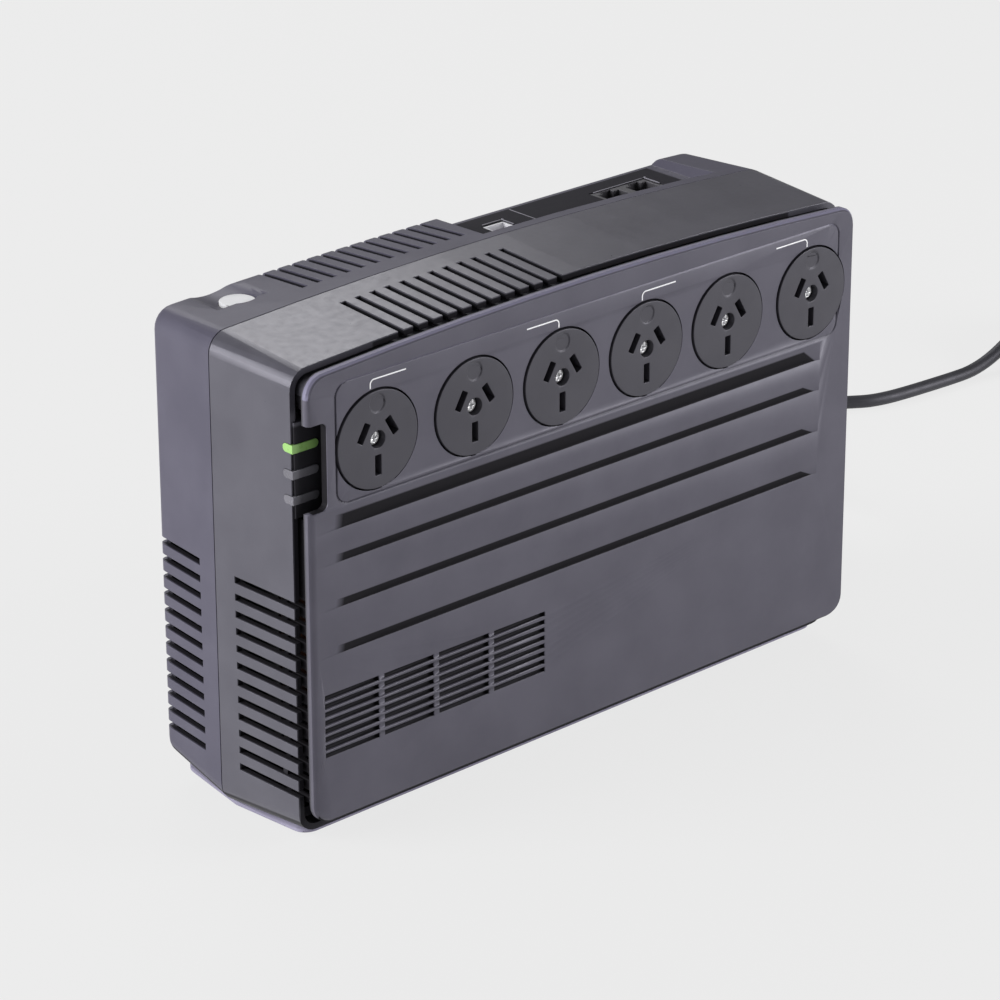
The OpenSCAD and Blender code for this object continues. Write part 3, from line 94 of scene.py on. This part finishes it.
SMOOTH_BELOW = 32           # degrees: an edge that turns less is shaded smooth
ROUND_ABOVE = 35            # degrees: an edge that turns more is rounded
CREASE = (0.6, 3.0)         # degrees: faint creases that stay sharp
NODE_WELD = 0.00002
STROKE_WELD = 0.000005


def clear_selection():
    if bpy.context.mode != "OBJECT":
        bpy.ops.object.mode_set(mode="OBJECT")
    bpy.ops.object.select_all(action="DESELECT")


def pick(piece):
    """Only this piece is selected and active."""
    clear_selection()
    piece.select_set(True)
    bpy.context.view_layer.objects.active = piece


def settle(piece):
    """The place goes into the mesh, and gentle edges are shaded smooth."""
    pick(piece)
    bpy.ops.object.transform_apply(location=True, rotation=True, scale=True)
    bpy.ops.object.shade_smooth_by_angle(angle=math.radians(SMOOTH_BELOW))


def apply_all(piece):
    pick(piece)
    for modifier in list(piece.modifiers):
        bpy.ops.object.modifier_apply(modifier=modifier.name)


def soften(piece, width, segments):
    """Rounds the sharp edges of a piece."""
    bevel = piece.modifiers.new("edge_round", "BEVEL")
    bevel.width = width
    bevel.segments = segments
    bevel.limit_method = "ANGLE"
    bevel.angle_limit = math.radians(ROUND_ABOVE)
    bevel.use_clamp_overlap = False
    bevel.harden_normals = False
    bevel.miter_outer = "MITER_ARC"
    apply_all(piece)


def dress(piece, slot, body="case", stands_for=()):
    """Finish, body and the nodes that a piece stands for."""
    piece.data.materials.clear()
    piece.data.materials.append(FINISHES[slot])
    if body:
        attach(piece, body)
    if stands_for:
        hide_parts(*stands_for)
    return piece


def split_creases(piece):
    """Faint creases between large flat faces are sharp, so neither face shades the other."""
    faint, clear_turn = CREASE
    pick(piece)
    bpy.ops.object.mode_set(mode="EDIT")
    bpy.ops.mesh.select_mode(type="EDGE")
    for angle, clear in ((faint, False), (clear_turn, True), (SMOOTH_BELOW, False)):
        bpy.ops.mesh.select_all(action="DESELECT")
        bpy.ops.mesh.edges_select_sharp(sharpness=math.radians(angle))
        bpy.ops.mesh.mark_sharp(clear=clear)
    bpy.ops.mesh.select_all(action="DESELECT")
    bpy.ops.object.mode_set(mode="OBJECT")


def from_node(name, node, slot, round_mm=0.0, segments=2, body="case", crease=False):
    """Merged copy of a node with its sharp edges rounded."""
    piece = nodes[node].copy()
    piece.data = nodes[node].data.copy()
    piece.name = piece.data.name = name
    for key in list(piece.keys()):
        del piece[key]
    piece.parent = None
    bpy.context.scene.collection.objects.link(piece)
    pick(piece)
    bpy.ops.object.mode_set(mode="EDIT")
    bpy.ops.mesh.select_all(action="SELECT")
    bpy.ops.mesh.remove_doubles(threshold=NODE_WELD)
    bpy.ops.mesh.select_all(action="DESELECT")
    bpy.ops.object.mode_set(mode="OBJECT")
    if round_mm:
        soften(piece, round_mm * MM, segments)
    settle(piece)
    if crease:
        split_creases(piece)
    level = piece.modifiers.new("flat_faces_stay_flat", "WEIGHTED_NORMAL")
    level.keep_sharp = True
    level.weight = 100
    apply_all(piece)
    return dress(piece, slot, body, (node,))


# ---- finishes ---------------------------------------------------------------------------

def linear(channel):
    c = channel / 255
    return c / 12.92 if c <= 0.04045 else ((c + 0.055) / 1.055) ** 2.4


def tint(r, g, b):
    return (linear(r), linear(g), linear(b), 1)


LILAC_GLOSS = (0.9, 0.88, 1.0, 1)
CLOUD_LIMITS = (0.35, 0.65)
GLOSS_PATCH = 6             # grains across one patch of gloss
BUMP_STRENGTH = 0.5
EDGE_SAMPLES = 8


def finish(name, dark, light, rough=0.5, spread=0.08, grain=0.5, depth=0.02, metal=0.0,
           cloud=25.0, specular=0.5, edge=0.35):
    """Moulded or cast surface: clouded colour, varied gloss and a fine grain."""
    material = bpy.data.materials.new(name)
    material.use_nodes = True
    tree = material.node_tree
    shader = tree.nodes["Principled BSDF"]
    shader.inputs["Metallic"].default_value = metal
    shader.inputs["Specular IOR Level"].default_value = specular
    if not metal:
        shader.inputs["Specular Tint"].default_value = LILAC_GLOSS
    place = tree.nodes.new("ShaderNodeTexCoord").outputs["Object"]

    def noise(size_mm, detail):
        node = tree.nodes.new("ShaderNodeTexNoise")
        node.inputs["Scale"].default_value = 1 / (size_mm * MM)
        node.inputs["Detail"].default_value = detail
        tree.links.new(place, node.inputs["Vector"])
        return node.outputs["Fac"]

    ramp = tree.nodes.new("ShaderNodeValToRGB")
    for stop, limit, colour in zip(ramp.color_ramp.elements, CLOUD_LIMITS, (dark, light)):
        stop.position = limit
        stop.color = colour
    tree.links.new(noise(cloud, 3), ramp.inputs["Fac"])
    tree.links.new(ramp.outputs["Color"], shader.inputs["Base Color"])
    gloss = tree.nodes.new("ShaderNodeMapRange")
    gloss.inputs["To Min"].default_value = max(rough - spread, 0.02)
    gloss.inputs["To Max"].default_value = min(rough + spread, 1)
    tree.links.new(noise(grain * GLOSS_PATCH, 2), gloss.inputs["Value"])
    tree.links.new(gloss.outputs["Result"], shader.inputs["Roughness"])
    bump = tree.nodes.new("ShaderNodeBump")
    bump.inputs["Strength"].default_value = BUMP_STRENGTH
    bump.inputs["Distance"].default_value = depth * MM
    tree.links.new(noise(grain, 2), bump.inputs["Height"])
    tree.links.new(bump.outputs["Normal"], shader.inputs["Normal"])
    if edge:
        rounding = tree.nodes.new("ShaderNodeBevel")
        rounding.samples = EDGE_SAMPLES
        rounding.inputs["Radius"].default_value = edge * MM
        tree.links.new(rounding.outputs["Normal"], bump.inputs["Normal"])
    return material


FINISHES = {
    "shell_front": finish("front_shell_plastic", tint(72, 71, 79), tint(79, 78, 86), 0.32,
                          depth=0.01),
    "shell_rear": finish("rear_shell_plastic", tint(76, 74, 87), tint(82, 80, 93), 0.38,
                         spread=0.04, depth=0.01, specular=0.2),
    "panel": finish("panel_plastic", tint(74, 72, 83), tint(81, 79, 90), 0.45, edge=0.2),
    # The strip under the case is laid a light lilac grey, far lighter than the shell above it.
    "pad": finish("light_base_strip", tint(128, 124, 144), tint(140, 136, 156), 0.7),
    "foot": finish("foot_rubber", tint(36, 36, 38), tint(48, 48, 50), 0.8, grain=0.8),
    "outlet": finish("outlet_plastic", tint(54, 53, 59), tint(60, 59, 65), 0.42),
    "insulator": finish("insulator_plastic", tint(60, 59, 62), tint(72, 71, 75), 0.6),
    "contact": finish("contact_brass", tint(170, 128, 66), tint(196, 156, 88), 0.35,
                      metal=1.0),
    "screw": finish("screw_steel", tint(226, 226, 228), tint(240, 240, 242), 0.3, metal=0.6),
    "lens_green": finish("green_lens", tint(132, 178, 96), tint(146, 190, 110), 0.3),
    "lens_clear": finish("clear_lens", tint(94, 93, 99), tint(112, 111, 118), 0.25),
    "board": finish("circuit_board", tint(34, 74, 46), tint(46, 92, 58), 0.45, cloud=3.0),
    "led": finish("led_epoxy", tint(206, 210, 190), tint(222, 226, 206), 0.25),
    "button_white": finish("white_button", tint(226, 226, 228), tint(236, 236, 238), 0.35),
    "spring": finish("spring_steel", tint(168, 170, 174), tint(190, 192, 196), 0.3,
                     metal=1.0),
    "recess_line": finish("moulded_line_plastic", tint(120, 118, 128), tint(132, 130, 140),
                          0.45),
    "black_part": finish("black_plastic", tint(36, 36, 40), tint(46, 46, 50), 0.5),
    "port_white": finish("white_port", tint(222, 221, 226), tint(232, 231, 236), 0.4),
    "mark_white": finish("printed_mark", tint(238, 238, 240), tint(248, 248, 250), 0.6,
                         edge=0),
    "jack": finish("jack_plastic", tint(58, 57, 60), tint(66, 65, 69), 0.45),
    "cord": finish("cord_rubber", tint(38, 38, 41), tint(50, 50, 54), 0.5, grain=0.8),
    "battery": finish("battery_case_plastic", tint(62, 63, 67), tint(74, 75, 79), 0.55),
    "battery_top": finish("battery_lid_plastic", tint(72, 73, 77), tint(84, 85, 89), 0.55),
    "terminal": finish("tinned_terminal", tint(186, 186, 184), tint(208, 208, 206), 0.35,
                       metal=1.0),
    "lead": finish("lead_insulation", tint(150, 34, 30), tint(172, 46, 40), 0.45),
    "strap": finish("strap_webbing", tint(30, 30, 32), tint(44, 44, 46), 0.8, grain=1.2,
                    depth=0.1),
    "core": finish("lamination_steel", tint(104, 104, 106), tint(126, 126, 128), 0.5,
                   metal=0.8),
    "coil": finish("enamelled_copper", tint(140, 74, 36), tint(168, 96, 52), 0.35,
                   metal=0.8),
    "sink": finish("anodised_sink", tint(150, 152, 156), tint(172, 174, 178), 0.4,
                   metal=0.9),
    "package": finish("chip_package", tint(28, 28, 30), tint(38, 38, 40), 0.4),
    "relay": finish("relay_housing", tint(34, 70, 120), tint(44, 84, 138), 0.4),
    "capacitor": finish("capacitor_sleeve", tint(28, 34, 52), tint(38, 46, 66), 0.35),
    "ceramic": finish("fuse_ceramic", tint(214, 208, 192), tint(228, 222, 206), 0.5),
    "wire": finish("wire_insulation", tint(36, 72, 130), tint(48, 88, 150), 0.45),
}


# ---- painted shade in grooves, slots and recess, and a painted highlight on the plate's edge ---

# The pairs below bound painted shade and a painted highlight on the outlet plate, and painted
# shade in the shells' slots and recess.
# Each pair is where a share is 0 and where it is 1, in millimetres.
GROOVE_DEPTH = (0.45, 0.65)
GROOVE_ENDS = (144.2, 143.8)
GROOVE_TOP = (187.4, 187.0)
TOP_EDGE_HIGHLIGHT = (188.0, 188.4)
NECK_DEPTH = (2.9, 3.1)
GROOVE_DULL = 0.94

WALL_DEPTH = (0.45, 0.8)
RECESS_END = (117, 116)
SCOOP_END = (-106.5, -105.5)
SIDE_SLOT_TOP = (176, 175)
BACK_SKIN = (46, 45.6)
WALL_DULL = 0.9

CASE_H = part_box("front_shell")[1][2] / MM
CASE_HALF = cad_box[0][0] / -MM
ROOF_RISE = 4.5
ROOF_HALF = 137.5
SEAM_Y = 8.2


def math_node(tree, operation, *values):
    """Each value is a number or another node's output."""
    node = tree.nodes.new("ShaderNodeMath")
    node.operation = operation
    for place, value in zip(node.inputs, values):
        if isinstance(value, (int, float)):
            place.default_value = value
        else:
            tree.links.new(value, place)
    return node.outputs[0]


def product(tree, *values):
    total = values[0]
    for value in values[1:]:
        total = math_node(tree, "MULTIPLY", total, value)
    return total


def fade(tree, source, limits):
    """0 at the first limit and 1 at the second, even between them."""
    node = tree.nodes.new("ShaderNodeMapRange")
    node.inputs["From Min"].default_value, node.inputs["From Max"].default_value = limits
    tree.links.new(source, node.inputs["Value"])
    return node.outputs["Result"]


def place_in_mm(tree):
    split = tree.nodes.new("ShaderNodeSeparateXYZ")
    tree.links.new(tree.nodes["Texture Coordinate"].outputs["Object"], split.inputs["Vector"])
    return [math_node(tree, "DIVIDE", split.outputs[axis], MM) for axis in "XYZ"]


def lay_painted_light(tree, share, painted_tone):
    """Lays a tone of painted light or painted shade, as the caller gives it, over the colour that
    the shader has so far.
    """
    base = tree.nodes["Principled BSDF"].inputs["Base Color"]
    blend = tree.nodes.new("ShaderNodeMix")
    blend.data_type = "RGBA"
    blend.inputs["B"].default_value = painted_tone
    tree.links.new(share, blend.inputs["Factor"])
    tree.links.new(base.links[0].from_socket, blend.inputs["A"])
    tree.links.new(blend.outputs["Result"], base)


def dull(tree, share, loss):
    """Takes a part of the gloss away."""
    gloss = tree.nodes["Principled BSDF"].inputs["Specular IOR Level"]
    level = gloss.default_value
    tree.links.new(math_node(tree, "MULTIPLY_ADD", share, -loss * level, level), gloss)


def paint_plate_light_and_shade(material, face, groove_shade, edge, neck_shade):
    """Painted shade darkens the grooves in the plate, a painted highlight lightens its top edge,
    and painted shade of a middle tone lies on the neck behind it.
    """
    tree = material.node_tree
    x, y, z = place_in_mm(tree)
    depth = math_node(tree, "SUBTRACT", y, face)
    deep = fade(tree, depth, GROOVE_DEPTH)
    groove_shade_share = product(tree, deep, fade(tree, math_node(tree, "ABSOLUTE", x), GROOVE_ENDS),
                      fade(tree, z, GROOVE_TOP))
    dull(tree, groove_shade_share, GROOVE_DULL)
    # Painted highlight on the plate's top edge, in the edge tone.
    lay_painted_light(tree, product(tree, deep, fade(tree, z, TOP_EDGE_HIGHLIGHT)), edge)
    # Painted shade on the neck behind the plate.
    lay_painted_light(tree, fade(tree, depth, NECK_DEPTH), neck_shade)
    # Painted shade in the grooves.
    lay_painted_light(tree, groove_shade_share, groove_shade)


def paint_shade_inside(material, seam, side, top_fall, rise_fall, side_fall, painted_tone):
    """Painted shade on the walls of the vent slots and the connector recess: they are laid darker
    than the shell's skin and lose part of their gloss.
    side is -1 before the seam and 1 behind it; a fall is the skin's taper for each mm from it."""
    tree = material.node_tree
    x, y, z = place_in_mm(tree)
    away = math_node(tree, "MULTIPLY_ADD", y, side, -side * seam)
    rise = math_node(tree, "MULTIPLY_ADD", away, -rise_fall, ROOF_RISE)
    arch = product(tree, x, x, 1 / ROOF_HALF ** 2, rise)
    top = math_node(tree, "MULTIPLY_ADD", away, -top_fall, CASE_H)
    roof = math_node(tree, "SUBTRACT", top, arch)
    below = fade(tree, math_node(tree, "SUBTRACT", roof, z), WALL_DEPTH)
    wall = math_node(tree, "MULTIPLY_ADD", away, -side_fall, CASE_HALF)
    out = math_node(tree, "ABSOLUTE", x)
    within = fade(tree, math_node(tree, "SUBTRACT", wall, out), WALL_DEPTH)
    from_top = product(tree, below, fade(tree, x, RECESS_END), fade(tree, x, SCOOP_END))
    from_side = product(tree, within, fade(tree, z, SIDE_SLOT_TOP))
    share = product(tree, math_node(tree, "MAXIMUM", from_top, from_side),
                    fade(tree, y, BACK_SKIN))
    dull(tree, share, WALL_DULL)
    lay_painted_light(tree, share, painted_tone)


# Painted shade on the walls of the shells' vent slots and connector recess.
paint_shade_inside(FINISHES["shell_front"], SEAM_Y, -1, 0.062, 0, 0.04, tint(44, 43, 47))
paint_shade_inside(FINISHES["shell_rear"], SEAM_Y, 1, 0.0712, 0.038, 0.087, tint(46, 45, 50))
# Painted shade for the plate's grooves, a painted highlight for its top edge and painted shade
# for its neck, in that order.
paint_plate_light_and_shade(FINISHES["panel"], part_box("front_panel")[0][1] / MM, tint(34, 33, 36),
            tint(116, 113, 134), tint(58, 57, 63))

for row in frame["record"]["subparts"]:
    mesh = nodes[row["node"]].data
    mesh.materials.clear()
    mesh.materials.append(FINISHES[row["material_slot"]])


# ---- mains cord -------------------------------------------------------------------------

CORD_D = 6.4
CORD_START = [(148.0, 25.2, 28), (160.0, 25.2, 28)]
CORD_ROUTE = [
    (182, 25.2, 28), (190, 25.2, 28), (201, 27, 27), (213, 33, 24), (224, 43, 19),
    (234, 57, 13), (243, 74, 8), (252, 93, 5), (262, 111, 3.5), (275, 127, 3.2),
    (291, 139, 3.2), (308, 144, 3.2), (324, 143.5, 3.2), (336, 139.5, 3.2), (345, 133.5, 3.2),
    (353, 128.5, 3.2), (363, 125.5, 3.2), (375, 123.8, 3.2), (390, 122.5, 3.2),
    (405, 121.5, 3.2), (420, 121, 3.6), (434, 121, 6.5), (448, 121, 12.5), (461, 121, 20),
    (474, 121, 26.5), (487, 121, 30.0),
]
COIL_C = (504, 82.6)
COIL_R = 38.4
COIL_TOP = 30.7
COIL_TURNS = 4.25
COIL_FLOOR = 3.2
COIL_STEPS = 28             # points in each turn
CORD_STEPS = 4              # points from one place of the route to the next
CORD_TAIL = [(542.4, 74, 3.2), (542.4, 65, 3.6), (542.4, 56, 5.4), (542.4, 46, 5.8)]


def between(a, b, c, d, t):
    """Point of a smooth curve from b to c."""
    return [0.5 * (2 * q + (r - p) * t + (2 * p - 5 * q + 4 * r - s) * t * t
                   + (3 * q - p - 3 * r + s) * t ** 3) for p, q, r, s in zip(a, b, c, d)]


def smooth_run(points, steps):
    last = len(points) - 1
    run = [between(points[max(i - 1, 0)], points[i], points[i + 1], points[min(i + 2, last)],
                   k / steps)
           for i in range(last) for k in range(steps)]
    return run + [list(points[-1])]


def coil_turns():
    """The wound part, clockwise from the top turn down to the floor."""
    steps = int(COIL_TURNS * COIL_STEPS)
    for i in range(steps + 1):
        t = i / steps
        angle = math.radians(90 - 360 * COIL_TURNS * t)
        yield (COIL_C[0] + COIL_R * math.cos(angle), COIL_C[1] + COIL_R * math.sin(angle),
               COIL_TOP + (COIL_FLOOR - COIL_TOP) * t)


def lay_cord():
    turns = list(coil_turns())
    run = smooth_run(CORD_START + CORD_ROUTE + turns[:2], CORD_STEPS)[:-CORD_STEPS]
    run += turns[1:-1]
    run += smooth_run(turns[-1:] + CORD_TAIL, CORD_STEPS)
    run = [[x * MM, y * MM, max(z, CORD_D / 2) * MM] for x, y, z in run]
    line = bpy.data.curves.new("mains_lead", "CURVE")
    line.dimensions = "3D"
    line.bevel_depth = CORD_D / 2 * MM
    line.bevel_resolution = 4
    line.use_fill_caps = True
    spline = line.splines.new("POLY")
    spline.points.add(len(run) - 1)
    for point, p in zip(spline.points, run):
        point.co = (*p, 1)
    spline.use_smooth = True
    lead = bpy.data.objects.new("mains_lead", line)
    bpy.context.scene.collection.objects.link(lead)
    length = sum(math.dist(a, b) for a, b in zip(run, run[1:]))
    dress(lead, "cord", "case", ("mains_cord", "cord_coil"))
    return lead, run[0], length


lead, exit_point, cord_length = lay_cord()


# ---- case and panel ---------------------------------------------------------------------

from_node("front_case_shell", "front_shell", "shell_front", crease=True)
from_node("rear_case_shell", "rear_shell", "shell_rear", crease=True)
from_node("outlet_panel", "front_panel", "panel")
for i in range(1, 7):
    from_node(f"outlet_disc_{i}", f"outlet_face_{i}", "outlet", 0.3)
from_node("outlet_screw_heads", "outlet_screws", "screw", 0.15)
from_node("base_strip", "base_pad", "pad")
from_node("breaker_ring_nut", "breaker_nut", "black_part", 0.2)
from_node("cord_relief", "strain_relief", "cord")
from_node("power_cap", "power_button", "button_white", 0.3, body="power_button")
return_spring = from_node("return_spring", "button_spring", "spring", body=None)
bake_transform(return_spring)
from_node("breaker_cap", "breaker_button", "button_white", 0.5, 3, body="breaker_button")
from_node("phone_socket_pair", "phone_jacks", "jack", 0.15)
from_node("data_socket", "usb_port", "port_white", 0.15)


# ---- printed and moulded lines ------------------------------------------------------------

BEND_STEPS = 6


def stroke(name, slot, start, width, runs, top=False, thick=0.06):
    """Line of even width: straight runs (along, up) and turns (centre along, centre up, angle).
    It lies in X and Z on the front and in X and Y on top, at its start's depth or height."""
    rise = (0, 1, 0) if top else (0, 0, 1)
    axis = (0, 0, 1) if top else (0, -1, 0)
    clear_selection()
    bpy.ops.mesh.primitive_plane_add(size=width * MM, location=[c * MM for c in start],
                                     rotation=(0 if top else math.pi / 2, 0, 0))
    piece = bpy.context.object
    piece.name = piece.data.name = name
    bpy.ops.object.transform_apply(location=True, rotation=True, scale=True)
    first = [runs[0][0] * (i == 0) + runs[0][1] * r for i, r in enumerate(rise)]
    bpy.ops.object.mode_set(mode="EDIT")
    bpy.ops.mesh.select_mode(type="EDGE")
    bpy.ops.mesh.select_all(action="DESELECT")
    bpy.ops.object.mode_set(mode="OBJECT")
    verts = piece.data.vertices
    far = max(piece.data.edges, key=lambda e: sum(
        f * c for v in e.vertices for f, c in zip(first, verts[v].co)))
    far.select = True
    bpy.ops.object.mode_set(mode="EDIT")
    for run in runs:
        if len(run) == 2:
            shift = [run[0] * MM * (i == 0) + run[1] * MM * r for i, r in enumerate(rise)]
            bpy.ops.mesh.extrude_region_move(TRANSFORM_OT_translate={"value": shift})
        else:
            centre = [run[0] * MM if i == 0 else run[1] * MM if r else start[i] * MM
                      for i, r in enumerate(rise)]
            bpy.ops.mesh.spin(steps=BEND_STEPS, angle=math.radians(run[2]), center=centre,
                              axis=axis)
    bpy.ops.mesh.select_all(action="SELECT")
    bpy.ops.mesh.remove_doubles(threshold=STROKE_WELD)
    bpy.ops.mesh.solidify(thickness=thick * MM)
    bpy.ops.mesh.normals_make_consistent(inside=False)
    bpy.ops.object.mode_set(mode="OBJECT")
    settle(piece)
    dress(piece, slot)


PRINT_RISE = 0.03
PANEL_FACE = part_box("front_panel")[0][1] / MM - PRINT_RISE
MARK_Z = 188.8
MARK_W = 0.55
MARK_DROP = 3.2
BEND_R = 1.9


def group_mark(name, x0, x1, z, end):
    """White line over a group of outlets, with a rounded drop at its outer end."""
    if end == "left":
        stroke(name, "mark_white", (x0, PANEL_FACE, z - MARK_DROP), MARK_W,
               [(0, MARK_DROP - BEND_R), (x0 + BEND_R, z - BEND_R, 90), (x1 - x0 - BEND_R, 0)])
    else:
        stroke(name, "mark_white", (x0, PANEL_FACE, z), MARK_W,
               [(x1 - x0 - BEND_R, 0), (x1 - BEND_R, z - BEND_R, 90), (0, BEND_R - MARK_DROP)])


group_mark("left_group_mark_a", -115.9, -98.7, MARK_Z, "left")
group_mark("left_group_mark_b", -37, -20.6, MARK_Z, "right")
group_mark("right_group_mark_a", 24.1, 42.1, MARK_Z, "left")
group_mark("right_group_mark_b", 99.8, 117.5, MARK_Z, "right")

JACK_SINK = 0.4
RECESS_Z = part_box("phone_jacks")[1][2] / MM + JACK_SINK
LINE_W = 0.6
LINE_H = 0.25
stroke("recess_divider", "recess_line", (37.5, 29, RECESS_Z), LINE_W, [(0, 16)],
       top=True, thick=LINE_H)
stroke("data_port_bracket", "recess_line", (16.5, 38.2, RECESS_Z), LINE_W,
       [(11, 0), (27.5, 37.2, -90), (0, -7)], top=True, thick=LINE_H)
stroke("phone_port_bracket", "recess_line", (78, 37.6, RECESS_Z), LINE_W,
       [(29.5, 0), (107.5, 36.6, -90), (0, -9)], top=True, thick=LINE_H)


# ---- studio -----------------------------------------------------------------------------

BACKDROP = 0.85
AMBIENT = 0.22
FLOOR_GLOW = 0.9            # share of the floor's own light, where it is seen directly
FLOOR_GREY = 0.75
FLOOR_ROUGH = 0.9
FLOOR_SIZE = 16
FLOOR_Z = -0.0002


def seen_directly(tree):
    """1 for rays from the camera, mirrors and glass, 0 for the light that falls on things."""
    path = tree.nodes.new("ShaderNodeLightPath")
    total = path.outputs["Is Camera Ray"]
    for ray in ("Is Glossy Ray", "Is Transmission Ray"):
        total = math_node(tree, "MAXIMUM", total, path.outputs[ray])
    return total


def studio_floor():
    clear_selection()
    bpy.ops.mesh.primitive_plane_add(size=FLOOR_SIZE, location=(0, 0, FLOOR_Z))
    floor = bpy.context.object
    floor.name = "studio_floor"
    material = bpy.data.materials.new("studio_floor_paper")
    material.use_nodes = True
    tree = material.node_tree
    shader = tree.nodes["Principled BSDF"]
    shader.inputs["Base Color"].default_value = (FLOOR_GREY, FLOOR_GREY, FLOOR_GREY, 1)
    shader.inputs["Roughness"].default_value = FLOOR_ROUGH
    glow = tree.nodes.new("ShaderNodeEmission")
    glow.inputs["Color"].default_value = (BACKDROP, BACKDROP, BACKDROP, 1)
    blend = tree.nodes.new("ShaderNodeMixShader")
    tree.links.new(product(tree, seen_directly(tree), FLOOR_GLOW), blend.inputs["Fac"])
    tree.links.new(shader.outputs["BSDF"], blend.inputs[1])
    tree.links.new(glow.outputs["Emission"], blend.inputs[2])
    tree.links.new(blend.outputs["Shader"], tree.nodes["Material Output"].inputs["Surface"])
    floor.data.materials.append(material)


def studio_world():
    world = bpy.data.worlds.new("studio_world")
    world.use_nodes = True
    bpy.context.scene.world = world
    tree = world.node_tree
    sky = tree.nodes["Background"]
    sky.inputs["Color"].default_value = (1, 1, 1, 1)
    level = tree.nodes.new("ShaderNodeMapRange")
    level.inputs["To Min"].default_value = AMBIENT
    level.inputs["To Max"].default_value = BACKDROP
    path = tree.nodes.new("ShaderNodeLightPath")
    tree.links.new(path.outputs["Is Camera Ray"], level.inputs["Value"])
    tree.links.new(level.outputs["Result"], sky.inputs["Strength"])


def softbox(name, place, aim, size, power):
    lamp = bpy.data.lights.new(name, "AREA")
    lamp.shape = "RECTANGLE"
    lamp.size, lamp.size_y = size
    lamp.energy = power
    box = bpy.data.objects.new(name, lamp)
    bpy.context.scene.collection.objects.link(box)
    box.location = place
    x, y, z = (a - p for a, p in zip(aim, place))
    box.rotation_euler = (math.atan2(math.hypot(x, y), -z), 0, math.atan2(y, x) - math.pi / 2)


studio_floor()
studio_world()
softbox("left_softbox", place=(-2.5, 1.0, 0.85), aim=(0, 0, 0.1), size=(1.6, 1.5), power=104)
softbox("back_softbox", place=(0.75, 1.55, 1.5), aim=(-0.1, 0, 0.15), size=(1.1, 0.8), power=13)
softbox("right_softbox", place=(1.3, -1.35, 0.6), aim=(0.15, 0, 0.1), size=(1.0, 1.0), power=30)
bpy.context.scene.view_settings.view_transform = "Standard"
